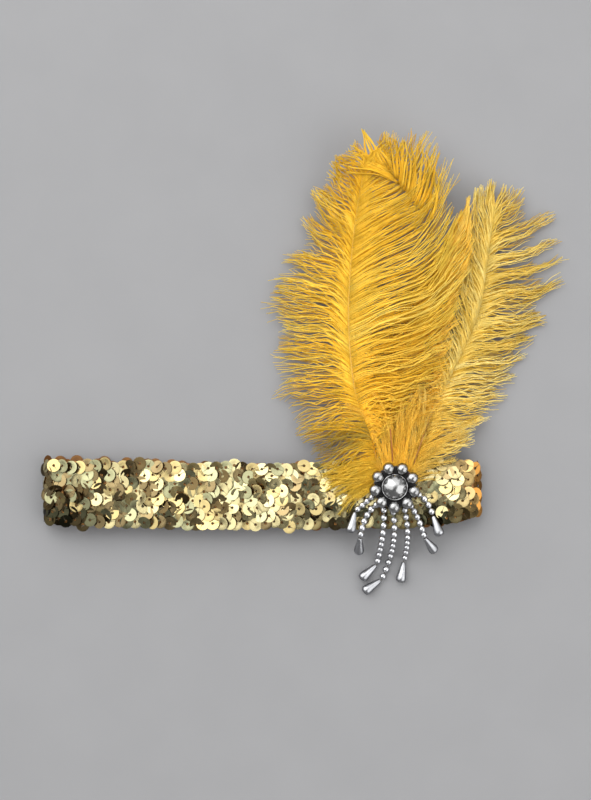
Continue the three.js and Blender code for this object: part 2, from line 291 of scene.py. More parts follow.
def sequinFinish():
    material, tree, shader = newFinish("sequinFoil", 0.25, 1.0)
    smudge = grain(tree, 260, 4)
    tinted(tree, shader, spread(tree, smudge, 0.86, 1.08))
    tree.links.new(spread(tree, smudge, 0.17, 0.33), shader.inputs["Roughness"])
    bumpy(tree, shader, grain(tree, 520, 2), 0.10, 0.25)
    return material


def grainFinish(name, roughness, tones, scale, detail=3.0, bump=None, metallic=0.0, sheen=0.0):
    # two tones that follow a grain; bump is the scale, strength and depth of its relief
    material, tree, shader = newFinish(name, roughness, metallic, sheen)
    twoTone(tree, shader, grain(tree, scale, detail), *tones)
    if bump:
        bumpy(tree, shader, grain(tree, bump[0], detail), *bump[1:])
    return material


def elasticFinish():
    material, tree, shader = newFinish("knittedElastic", 0.8, 0.0, 0.25)
    place = tree.nodes.new("ShaderNodeTexCoord")
    courses = tree.nodes.new("ShaderNodeTexWave")
    courses.bands_direction = "X"
    courses.inputs["Scale"].default_value = 420
    courses.inputs["Distortion"].default_value = 1.4
    courses.inputs["Detail"].default_value = 1
    tree.links.new(place.outputs["Object"], courses.inputs["Vector"])
    twoTone(tree, shader, courses.outputs["Fac"], (0.15, 0.055, 0.010), (0.46, 0.20, 0.035))
    bumpy(tree, shader, courses.outputs["Fac"], 0.5, 0.3)
    return material


def barbFinish():
    material, tree, shader = newFinish("dyedBarbs", 0.6, 0.0, 0.16, (1.0, 0.62, 0.10))
    mottle = grain(tree, 190, 4)
    tinted(tree, shader, spread(tree, mottle, 0.86, 1.12))
    tree.links.new(spread(tree, mottle, 0.52, 0.70), shader.inputs["Roughness"])
    shader.inputs["Specular IOR Level"].default_value = 0.07
    return material


def quillFinish():
    material, tree, shader = newFinish("featherQuill", 0.6)
    shader.inputs["Specular IOR Level"].default_value = 0.15
    streak = grain(tree, 420, 3)
    tinted(tree, shader, spread(tree, streak, 0.75, 1.15))
    bumpy(tree, shader, streak, 0.25, 0.15)
    return material


def silverFinish(name, dark, light, smooth, worn, rimTint):
    material, tree, shader = newFinish(name, smooth, 1.0)
    shader.inputs["Specular Tint"].default_value = (*rimTint, 1)
    tarnish = grain(tree, 330, 5)
    twoTone(tree, shader, spread(tree, tarnish, 0.0, 1.0), dark, light)
    tree.links.new(spread(tree, tarnish, worn, smooth), shader.inputs["Roughness"])
    bumpy(tree, shader, grain(tree, 700, 2), 0.05, 0.15)
    return material


foil = sequinFinish()
foilReverse = grainFinish(
    "sequinReverse", 0.42, [(0.07, 0.03, 0.008), (0.30, 0.13, 0.028)], 300,
    bump=(900, 0.12, 0.2), metallic=0.55,
)
knit = elasticFinish()
# dark thread; its knots in the sequin holes stand in for the shade inside them, painted shade
thread = grainFinish(
    "threadAndHoleShade", 0.6, [(0.05, 0.035, 0.016), (0.14, 0.10, 0.045)], 900, bump=(2400, 0.3, 0.1),
)
barbs = barbFinish()
quill = quillFinish()
silver = silverFinish("silverCoat", (0.53, 0.535, 0.55), (0.69, 0.695, 0.71), 0.22, 0.34, (0.3, 0.3, 0.32))
satin = silverFinish("silverSatin", (0.33, 0.335, 0.35), (0.47, 0.475, 0.49), 0.26, 0.36, (0.12, 0.12, 0.14))
mirror = silverFinish("silverMirror", (0.30, 0.30, 0.30), (0.41, 0.41, 0.405), 0.18, 0.27, (0.5, 0.5, 0.52))
felt = grainFinish(
    "blackFelt", 0.95, [(0.006, 0.006, 0.007), (0.035, 0.034, 0.034)], 1100, 6,
    bump=(1100, 0.8, 0.35), sheen=0.3,
)
floorPaper = grainFinish("paperFloor", 0.9, [(0.235, 0.235, 0.24), (0.26, 0.26, 0.265)], 30, 6)
print("finishes ready")


# the sequin band: an elastic loop pressed flat, with sequins sewn all round its outside

band = {
    "straight": 91.0, "flatLength": 193.0, "halfWidth": 14.5, "wall": 2.2, "foldHeight": 11.0,
    "sag": 0.8, "dip": 1.1, "crown": 0.4,
    "frontSway": (1.8, 3.1), "backSway": (2.2, 2.0), "pinch": (0.08, 0.27),     # left end, right end
    # each zone below is a start and a run
    "pinchZone": (80.0, 13.0), "tuckZone": (-62.0, 34.0), "tuck": 2.6, "leftTuck": 1.5,
    "elasticInner": -1.1, "elasticOuter": -0.25, "edgeInset": 0.6, "rib": 0.07, "ribPitch": 1.5,
    "ripple": 0.25, "ripplePitch": 11.0, "rippleSpread": 0.08, "steps": 262, "cells": 22,
}
rosettePlace = np.array([58.5, 3.3])
foldRadius = band["foldHeight"] / 2 - band["wall"] / 2
foldArc = math.pi * foldRadius
loopLength = 4 * band["straight"] + 2 * foldArc


def loopAt(along, across, lift):
    # point, outward normal and forward tangent on the loop; underside first, then right fold, top, left fold
    straight, half = band["straight"], band["foldHeight"] / 2
    along = np.mod(along, loopLength)
    run = 2 * straight
    rightTurn = (along - run) / foldRadius - math.pi / 2
    leftTurn = (along - 2 * run - foldArc) / foldRadius + math.pi / 2
    legs = [along < run, along < run + foldArc, along < 2 * run + foldArc]
    zero = 0 * along
    nx = np.select(legs, [zero, np.cos(rightTurn), zero], np.cos(leftTurn))
    nz = np.select(legs, [zero - 1, np.sin(rightTurn), zero + 1], np.sin(leftTurn))
    x = np.select(legs, [
        along - straight, straight + foldRadius * nx, straight - (along - run - foldArc),
    ], -straight + foldRadius * nx)
    upper = np.clip(nz, 0, 1)
    sag = band["sag"] * np.clip(1 - (x / straight) ** 2, 0, 1)
    sag = sag + band["crown"] * (across / band["halfWidth"]) ** 2
    z = half + foldRadius * nz - sag * upper
    x, z = x + nx * lift, z + nz * lift
    bend = (2 * x / band["flatLength"]) ** 2
    front = np.where(x > 0, band["frontSway"][1], band["frontSway"][0]) * bend - band["dip"]
    back = np.where(x > 0, band["backSway"][1], band["backSway"][0]) * bend
    y = across + back + (front - back) * np.clip(z / band["foldHeight"], 0, 1)
    normal = np.stack([nx, zero, nz], -1)
    forward = np.stack([-nz, zero, nx], -1)
    return np.stack([x, y, z], -1), normal, forward


def tuckedIn(flat, normal, across):
    # towards the right the back layer's upper edge draws in under the front
    share = fade(flat[..., 0], *band["tuckZone"])
    tuck = band["leftTuck"] + (band["tuck"] - band["leftTuck"]) * share
    return tuck * np.clip(-normal[..., 2], 0, 1) * np.clip(across / band["halfWidth"], 0, 1)


def pinched(across, x, shares):
    # the folds are a little narrower than the band
    near = fade(np.abs(x), *band["pinchZone"]) ** 2
    return across * (1 - np.where(x > 0, shares[1], shares[0]) * near)


def buildElastic():
    # closed in section, ribbed along its length on both faces
    steps, half = band["steps"], band["halfWidth"] - band["edgeInset"]
    edge = np.linspace(-1, 1, band["cells"] + 1) * half
    ribs = band["rib"] * np.cos(edge * 2 * math.pi / band["ribPitch"])
    across = np.concatenate([edge, edge[::-1]])
    lift = np.concatenate([band["elasticInner"] - ribs, (band["elasticOuter"] + ribs)[::-1]])
    along = np.linspace(0, loopLength, steps, endpoint=False)
    ripple = band["ripple"] * np.sin(along * 2 * math.pi / band["ripplePitch"])
    ripple = ripple + draw.normal(0, band["rippleSpread"], steps)
    a, b = np.meshgrid(along, across, indexing="ij")
    wide = b + ripple[:, None] * np.sign(b) * (np.abs(b) / band["halfWidth"]) ** 4
    flat, normal = loopAt(a, wide, 0 * a)[:2]
    wide = pinched(wide - tuckedIn(flat, normal, wide), flat[..., 0], band["pinch"])
    points = loopAt(a, wide, np.tile(lift, (steps, 1)))[0].reshape(-1, 3)
    shape = points, gridTriangles(steps, len(across), True)
    piece = makePiece("elastic_loop", shape, [knit], ["sequin_band"])


sequin = {
    "radius": 3.0, "hole": 0.66, "thick": 0.09, "cup": (0.02, 0.20), "sides": 14, "crease": 35,
    "flatTo": (0.55, 0.94), "rimDrop": 0.3,
    "rows": 8, "rowReach": 12.1, "rowLimit": 12.6, "pitch": 3.8, "jitter": 0.6, "rowJitter": 0.42,
    # some at the edges stick out, some at the back show over the edge, and some at the right fold are lost
    "loose": 0.16, "looseOut": 1.3, "looseFrom": 10.7, "looseTo": 87.0,
    "peeping": 0.3, "peepOut": 1.6, "peepFrom": 9.0, "peepTo": -18.0,
    "bareFold": 0.12, "bareFrom": 92.5, "bareAbove": -0.4,
    "pinch": (0.05, 0.20), "underBelow": -0.5,
    # tilts in degrees; a share of the sequins is flicked and stands up more
    "lean": 6.0, "rowLean": 0.5, "tilt": 10.5, "edgeTilt": 7.0, "foldLift": 28.0, "foldFacing": (0.1, 0.9),
    "flicked": 0.10, "flickTilt": 16.0,
    "underTilt": 0.3, "underEdge": 0.2, "pressed": 19.0, "calmFrom": 94.0, "calmTilt": 0.35,
    "seat": 0.16, "tiltLift": 0.8, "foldDrop": 0.45, "underLift": 0.55, "floorGap": 0.06,
    "tints": [
        (0.60, 0.52, 0.27), (0.52, 0.41, 0.18), (0.37, 0.36, 0.20), (0.28, 0.21, 0.10), (0.10, 0.07, 0.03),
    ],
    # towards the left end the shares lean to darker tints and all are dimmed: painted shade
    "tintShares": [0.45, 0.22, 0.16, 0.10, 0.07], "leftShares": [0.08, 0.18, 0.28, 0.32, 0.14],
    "tone": (0.9, 1.06), "leftZone": (-35.0, -35.0), "leftDim": 0.20,
    # place along the band, and how much painted shade darkens the lower edge there
    "away": [(-80, 0.9), (-64, 0), (10, 0), (25, 0.65), (66, 0.65), (74, 0.88)],
    "awayShare": 0.85, "lowZone": (2.5, 4.0),
    "dullTint": (0.42, 0.27, 0.10), "dullZone": (84.0, 6.0), "dullShare": 0.7, "lowShare": 0.7,
    "orangeTint": (0.46, 0.22, 0.05), "orangeTone": (0.35, 1.1), "orangeFrom": 93.2,
    # out from the hole, height, radius of the thread; the thick first row is a dark knot in the hole, painted
    # shade inside it
    "stitch": [
        (0.0, -0.25, 0.28), (0.2, 0.08, 0.20), (0.55, 0.12, 0.05), (0.88, 0.10, 0.05), (0.99, -0.02, 0.04),
    ],
    "stitchGap": 0.12,
}


def sequinPlaces():
    columns = int(round(loopLength / sequin["pitch"]))
    step = loopLength / columns
    row, column = np.meshgrid(np.arange(sequin["rows"]), np.arange(columns), indexing="ij")
    row, column = row.ravel(), column.ravel()
    along = (column + 0.5 * (row % 2)) * step + draw.normal(0, sequin["jitter"], row.size)
    across = sequin["rowReach"] * (2 * row / (sequin["rows"] - 1) - 1)
    across = across + draw.normal(0, sequin["rowJitter"], row.size)
    across = np.clip(across, -sequin["rowLimit"], sequin["rowLimit"])
    flat, normal = loopAt(along, across, 0 * along)[:2]
    atEdge = (np.abs(across) > sequin["looseFrom"]) & (np.abs(flat[:, 0]) < sequin["looseTo"])
    loose = atEdge & (draw.random(along.size) < sequin["loose"])
    across = across + sequin["looseOut"] * np.sign(across) * loose
    # the rows follow the back layer's tuck, and pinch a little at the folds
    across = across - tuckedIn(flat, normal, across)
    peep = (normal[:, 2] < sequin["underBelow"]) & (across > sequin["peepFrom"])
    peep = peep & (flat[:, 0] < sequin["peepTo"]) & (draw.random(along.size) < sequin["peeping"])
    across = pinched(across + sequin["peepOut"] * peep, flat[:, 0], sequin["pinch"])
    flat, normal = loopAt(along, across, 0 * along)[:2]
    atRightFold = (flat[:, 0] > sequin["bareFrom"]) & (normal[:, 2] > sequin["bareAbove"])
    kept = ~(atRightFold & (draw.random(along.size) < sequin["bareFold"]))
    return along[kept], across[kept]


def sequinFrames(along, across):
    # centre and face of each sequin, two directions in the face, and whether it lies below
    flat, normal, forward = loopAt(along, across, 0 * along)
    count = along.size
    under = normal[:, 2] < sequin["underBelow"]
    flick = draw.random(count) < sequin["flicked"]
    wobble = np.where(flick, sequin["flickTilt"], sequin["tilt"]) * np.where(under, sequin["underTilt"], 1.0)
    calm = np.linalg.norm(flat[:, :2] - rosettePlace, axis=1) < sequin["pressed"]
    calm = calm | (flat[:, 0] > sequin["calmFrom"])
    wobble = np.where(calm, sequin["calmTilt"], 1.0) * wobble
    leanAlong = np.radians(sequin["lean"] + draw.normal(0, 1, count) * wobble)
    leanAcross = np.radians(sequin["rowLean"] + draw.normal(0, 1, count) * wobble)
    edgeTilt = np.radians(sequin["edgeTilt"]) * (across / band["halfWidth"]) ** 3
    leanAcross += edgeTilt * np.where(under, sequin["underEdge"], 1.0)
    # on the folds they hang like shingles and show their faces from above
    middle, reach = sequin["foldFacing"]
    facing = np.clip(1 - np.abs(normal[:, 2] - middle) / reach, 0, 1)
    leanAlong += np.radians(sequin["foldLift"]) * normal[:, 0] * facing
    sideways = np.array([0.0, 1.0, 0.0])
    face = unit(normal + np.tan(leanAlong)[:, None] * forward + np.tan(leanAcross)[:, None] * sideways)
    tilt = np.arccos(np.clip((face * normal).sum(1), -1, 1))
    stand = sequin["tiltLift"] - sequin["foldDrop"] * np.abs(normal[:, 0])
    lift = band["elasticOuter"] + sequin["seat"] + sequin["radius"] * np.sin(tilt) * stand
    centre = loopAt(along, across, np.where(under, np.minimum(lift, sequin["underLift"]), lift))[0]
    spun = draw.uniform(0, 2 * math.pi, count)[:, None]
    first = unit(forward - (forward * face).sum(1, keepdims=True) * face)
    second = np.cross(face, first)
    spunFirst = np.cos(spun) * first + np.sin(spun) * second
    spunSecond = np.cos(spun) * second - np.sin(spun) * first
    return centre, face, spunFirst, spunSecond, under


def sequinTints(centre, across):
    x, count = centre[:, :1], len(centre)
    # painted shade: towards the left end the tints lean to darker ones and are dimmed
    leftShading = fade(x, *sequin["leftZone"])
    shares = np.array(sequin["tintShares"]) * (1 - leftShading) + np.array(sequin["leftShares"]) * leftShading
    chosen = (draw.random((count, 1)) > np.cumsum(shares, axis=1)[:, :-1]).sum(1)
    palette = np.array(sequin["tints"])[chosen]
    palette = palette * draw.uniform(*sequin["tone"], (count, 1)) * (1 - sequin["leftDim"] * leftShading)
    # painted shade: the lower edge is darkened at the left end and beside the rosette, as if it turned away
    # from the light
    low = fade(-across[:, None], *sequin["lowZone"])
    away = np.interp(x, *zip(*sequin["away"]))
    palette = palette * (1 - low * away * (draw.random((count, 1)) < sequin["awayShare"]))
    dull = fade(x, *sequin["dullZone"]) * sequin["dullShare"] * (1 - sequin["lowShare"] * low)
    palette = palette * (1 - dull) + np.array(sequin["dullTint"]) * dull
    edgeOn = centre[:, 0] > sequin["orangeFrom"]
    palette[edgeOn] = np.array(sequin["orangeTint"]) * draw.uniform(*sequin["orangeTone"], (edgeOn.sum(), 1))
    return palette


def buildStitches(centre, face, first, cup):
    # a stitch from each hole over the rim; its dark knot in the hole is painted shade
    out, height, thin = np.array(sequin["stitch"]).T
    out, height = out[None, :, None], height[None, :, None]
    path = centre[:, None] + sequin["radius"] * out * first[:, None]
    path = path + (height + cup[:, None, None] * 0.5 * out ** 2) * face[:, None]
    path[..., 2] = np.maximum(path[..., 2], sequin["stitchGap"])
    makePiece("sequin_stitches", tubes(path, np.tile(thin, (len(centre), 1)), 3), [thread])


def buildSequins():
    along, across = sequinPlaces()
    centre, face, first, second, under = sequinFrames(along, across)
    cup = draw.uniform(*sequin["cup"], len(centre))
    palette = sequinTints(centre, across)
    radius, hole, thick = sequin["radius"], sequin["hole"], sequin["thick"]
    profile = [(hole, 0)] + [(share * radius, 0) for share in sequin["flatTo"]]
    profile += [(radius, -sequin["rimDrop"] * thick), (radius, -thick), (hole, -thick)]
    local, triangles = latheLoop(profile, sequin["sides"])
    bowl = (np.hypot(local[:, 0], local[:, 1]) / radius) ** 2
    height = local[None, :, 2] + cup[:, None] * (bowl[None] - 0.5)
    points = (
        centre[:, None] + local[None, :, :1] * first[:, None] + local[None, :, 1:2] * second[:, None]
        + height[..., None] * face[:, None]
    )
    points[..., 2] = np.maximum(points[..., 2], sequin["floorGap"])
    rowOf = np.tile(np.repeat(np.arange(len(profile)), sequin["sides"]), 2)
    backFaces = (rowOf == len(profile) - 2).astype(int)
    each = len(local)
    for name, chosen in (("sequins_front", ~under), ("sequins_back", under)):
        some = points[chosen]
        shape = some.reshape(-1, 3), repeated(triangles, len(some), each)
        makePiece(
            name, shape, [foil, foilReverse], ["sequin_band"],
            np.repeat(palette[chosen], each, axis=0), np.tile(backFaces, len(some)), sequin["crease"],
        )
    buildStitches(centre, face, first, cup)


buildElastic()
buildSequins()
print("band ready")


# feathers: fine barbs that draw together into strands, each barb with barbules on both sides

barbLook = {
    "pitch": 0.48, "rootJitter": 0.3, "spineSteps": 400, "stations": 9, "sides": 3,
    "droop": 0.38, "endSpread": (-0.4, 0.9), "arch": 0.5, "hook": 0.13, "hookShape": (2.4, 3),
    "reach": (0.85, 1.0), "ownReach": (-0.04, 0.03), "lengthSpread": 0.02, "lengthLimits": (-0.15, 0.08),
    "sweepSpread": 0.9, "turnSpread": 2.0, "stray": 0.04, "strayTurn": 7.0,
    # barbs gather into strands, which drift by a size, a pitch on the spine and turns on the way out
    "strandPitch": 3.3, "strandDraw": 0.80, "strandRise": 0.5, "strandEdge": 10, "strandShare": 0.85,
    "drift": [(0.40, 23, 0.9), (0.26, 9.7, -1.5), (0.22, 41, 2.2)], "gatherZone": (0.03, 0.19),
    # strands gather into locks
    "lockLength": 0.22, "lockBias": 0.3, "lockDrift": (0.3, 17), "lockEdge": 8,
    "wave": 0.026, "waveZone": (0, 0.1), "ownWave": 0.12, "ownTurns": 2.1,
    "sway": {
        "slow": 0.12, "slowPitch": 37, "turns": 1.35, "least": 0.35, "growth": 0.65,
        "next": 0.5, "nextPitch": 31, "nextTurns": 1.9,
    },
    "stackSpread": 0.3, "stackShare": (0.25, 0.75), "floorGap": 0.15,
    "radius": 0.22, "tipRadius": 0.11, "taper": 0.8, "fullLength": 8.0, "thinnest": 0.5,
    "shadeSpread": 0.06, "strandShade": 0.07, "shadeStops": (0.7, 0.55, 0.9),
    # painted light: dark barbs are tinted deeper in colour and pale ones paler, as light filtered through the
    # barbs would make them
    "deepen": (0.55, 1.0, 2.8), "tipFade": (1.5, 0.7), "barbTone": 0.96, "barbuleTone": 1.04,
    "tintMost": 0.97,
    "barbuleStep": 1.4, "barbuleLong": 2.5, "barbuleShort": 0.85, "barbuleWidth": 0.19, "barbuleRise": 0.8,
    "barbuleStops": (0, 0.1, 0.65, 1), "barbuleEase": (0.7, 0.85), "barbuleSpread": (0.7, 1.15),
    "barbuleLimit": (0.25, 0.3), "barbuleLift": (-0.05, 0.16), "barbuleGap": 0.075,
    "barbuleAngle": (24.0, 13.0), "angleStops": (0.05, 0.4), "angleSpread": 6,
    # the vane is laid twice: strands above, tinted a little lighter, and a filling below, tinted darker as
    # painted shade under the strands
    "layers": [
        dict(rise=0.3, sweep=0.7, shade=1.06, gather=1.0, barbules=1.0, fluff=0.72, reach=1.0),
        dict(rise=-0.7, sweep=-1.2, shade=0.72, gather=0.3, barbules=0.7, fluff=1.0, reach=0.94),
    ],
}

leftFeather = {
    "name": "feather_left", "lockPitch": {"left": 15.0, "right": 15.0}, "lockCurve": 2.5,
    # the tint is made lighter or darker by side, towards the tip and at the foot: painted light and shade
    "sideShade": {"left": 0.97, "right": 1.02}, "upperShade": 0.78,
    "footShade": {"left": 0.94, "right": 1.0}, "footTo": 0.27,
    # painted shade: the barbs about this place on the spine are tinted towards a dark olive, for the shade in
    # a parting between them
    "gap": {"side": "left", "at": 0.185, "width": 0.034, "share": 0.78, "colour": (0.24, 0.175, 0.040)},
    "spine": [
        (55.1, 0.5, 11.9), (51.5, 12.8, 12.2), (47.5, 27.0, 13.6), (41.5, 44.4, 13.6),
        (38.5, 73.7, 13.0), (39.2, 98.0, 13.0), (42.0, 124.0, 14.0), (46.0, 147.0, 17.0),
    ],
    # place on the spine, length, angle to it at the root and at the end, height of the end, drawn into locks
    "left": [
        (0.09, 27, 97, 107, 11.9, 0.2), (0.17, 30, 92, 106, 11.7, 0.2), (0.22, 31, 75, 100, 5.0, 0.3),
        (0.28, 35, 62, 95, 1.4, 0.35), (0.4, 40, 52, 95, 0.6, 0.3), (0.55, 43, 47, 95, 0.6, 0.3),
        (0.62, 33.5, 47, 93, 1.2, 0.45), (0.67, 27, 47, 75, 2.0, 0.45), (0.71, 29, 46, 54, 2.5, 0.5),
        (0.8, 27, 48, 54, 5.0, 0.5), (0.9, 19, 50, 62, 10.0, 0.5), (0.97, 14, 60, 72, 14.5, 0.3),
        (1.0, 11, 35, 50, 16.0, 0.3),
    ],
    "right": [
        (0.09, 3, 50, 50, 12.6, 0), (0.14, 5, 60, 60, 14.2, 0), (0.19, 12, 90, 105, 13.5, 0.1),
        (0.25, 26, 93, 102, 12.4, 0.1), (0.31, 40, 91, 85, 11.4, 0.1), (0.4, 52, 85, 58, 10.8, 0.1),
        (0.5, 71, 82, 32, 10.6, 0.1), (0.67, 72, 68, 15, 10.8, 0.15), (0.84, 54, 66, 12, 12.5, 0.2),
        (0.92, 36, 54, 8, 14.0, 0.2), (1.0, 15, 46, 0, 15.5, 0.2),
    ],
    "colour": (0.93, 0.60, 0.064), "tipColour": (0.79, 0.605, 0.095),
    "baseColour": {"left": (0.94, 0.58, 0.050), "right": (0.97, 0.51, 0.024), "down": (0.93, 0.57, 0.046)},
    "baseReach": 0.55, "quillColour": (0.60, 0.34, 0.06), "quillFoot": (0.45, 0.22, 0.04),
    "quillRadius": 0.52, "quillTip": 0.14, "quillSink": 0.0, "quillBow": -0.6,
}

middleFeather = {
    "name": "feather_middle", "lockPitch": {"left": 12.0, "right": 12.0}, "lockCurve": 2.5,
    "sideShade": {"left": 1.0, "right": 1.08}, "upperShade": 1.06,
    "footShade": {"left": 1.0, "right": 1.0}, "footTo": 0.27,
    "spine": [
        (58.4, 0.0, 11.9), (57.6, 16.3, 12.2), (56.8, 34.8, 9.4), (60.6, 54.6, 8.4), (69.5, 78.0, 7.8),
        (80.5, 100.0, 7.6), (87.5, 120.0, 7.6),
    ],
    "left": [
        (0.15, 5, 45, 45, 11.6, 0), (0.3, 13, 60, 70, 7.8, 0.1), (0.6, 18, 40, 40, 7.2, 0.1),
        (0.8, 11, 26, 20, 7.4, 0.1), (1.0, 7, 8, 2, 7.6, 0.0),
    ],
    "right": [
        (0.15, 8, 55, 65, 11.8, 0), (0.3, 24, 76, 86, 8.2, 0.1), (0.6, 26, 46, 20, 10.4, 0.1),
        (0.85, 24, 26, -6, 11.0, 0.1), (1.0, 13, 8, -6, 10.6, 0.0),
    ],
    "colour": (0.96, 0.59, 0.070), "tipColour": (0.96, 0.61, 0.085),
    "baseColour": {"left": (0.97, 0.53, 0.036), "right": (0.97, 0.53, 0.036), "down": (0.97, 0.54, 0.042)},
    "baseReach": 0.4, "quillColour": (0.44, 0.20, 0.045), "quillFoot": (0.34, 0.13, 0.035),
    "quillRadius": 0.34, "quillTip": 0.2, "quillSink": 0.0, "quillBow": 4.0,
}

rightFeather = {
    "name": "feather_right", "lockPitch": {"left": 9.0, "right": 10.0}, "lockCurve": 0.85,
    "sideShade": {"left": 1.0, "right": 0.90}, "upperShade": 0.97,
    "footShade": {"left": 1.05, "right": 1.24}, "footTo": 0.45,
    "spine": [
        (61.7, 0.5, 11.9), (66.2, 11.0, 12.0), (68.7, 18.5, 11.8), (73.8, 32.3, 7.2), (88.0, 60.0, 4.2),
        (97.0, 82.0, 3.6), (100.5, 105.0, 3.8), (103.2, 126.0, 5.0),
    ],
    "left": [
        (0.1, 3, 50, 50, 12.0, 0), (0.17, 9, 60, 55, 8.0, 0.1), (0.255, 18, 50, 45, 6.0, 0.1),
        (0.488, 25, 55, 35, 8.6, 0.1), (0.666, 27, 45, 20, 9.6, 0.2), (0.85, 32, 33, 9, 9.4, 0.4),
        (1.0, 14, 14, 2, 5.5, 0.3),
    ],
    "right": [
        (0.1, 25, 56, 58, 12.6, 0.1), (0.145, 27, 54, 61, 11.5, 0.3), (0.255, 29, 57, 64, 2.0, 0.3),
        (0.35, 31, 55, 55, 0.7, 0.3), (0.488, 34, 55, 46, 0.6, 0.35), (0.666, 35, 69, 58, 0.6, 0.6),
        (0.79, 36, 76, 58, 0.6, 0.95), (0.85, 34, 64, 55, 1.0, 0.97), (0.925, 25, 42, 57, 2.5, 0.9),
        (0.96, 18, 30, 34, 3.5, 0.4), (1.0, 12, 10, 12, 4.5, 0.2),
    ],
    "colour": (0.86, 0.650, 0.170), "tipColour": (0.82, 0.655, 0.200),
    "baseColour": {"left": (0.96, 0.57, 0.036), "right": (0.96, 0.58, 0.032), "down": (0.96, 0.57, 0.052)},
    "baseReach": 0.45, "quillColour": (0.80, 0.56, 0.18), "quillFoot": (0.32, 0.14, 0.035),
    "quillRadius": 0.34, "quillTip": 0.16, "quillSink": 0.9, "quillBow": 3.8,
}


def onLine(line, at):
    spot = np.clip(at, 0, 1) * (len(line) - 1)
    low = np.minimum(spot.astype(int), len(line) - 2)
    part = (spot - low)[..., None]
    return line[low] * (1 - part) + line[low + 1] * part


def turned(direction, angle):
    # a level direction turned to the left by the angle
    x, y = direction[..., 0], direction[..., 1]
    c, s = np.cos(angle), np.sin(angle)
    return np.stack([c * x - s * y, s * x + c * y, 0 * x], -1)


def blendColour(first, second, share):
    return np.array(first) * (1 - share[..., None]) + np.array(second) * share[..., None]


def strandAt(u, run, begin, look):
    # which strand a barb belongs to there; strands part and join on their way out
    drift = 0
    for start, (size, pitch, turns) in zip(begin, look["drift"]):
        drift = drift + size * wave(run / pitch + turns * u + start)
    return run / look["strandPitch"] + drift


def swayAt(u, run, begin, sway):
    # two waves that run along the vane and grow towards the ends of the barbs
    slow = sway["slow"] * wave(run / sway["slowPitch"] + begin[0])
    first = wave(sway["turns"] * u + slow) * (sway["least"] + sway["growth"] * u)
    return first + sway["next"] * u * wave(sway["nextTurns"] * u - run / sway["nextPitch"] + begin[1])


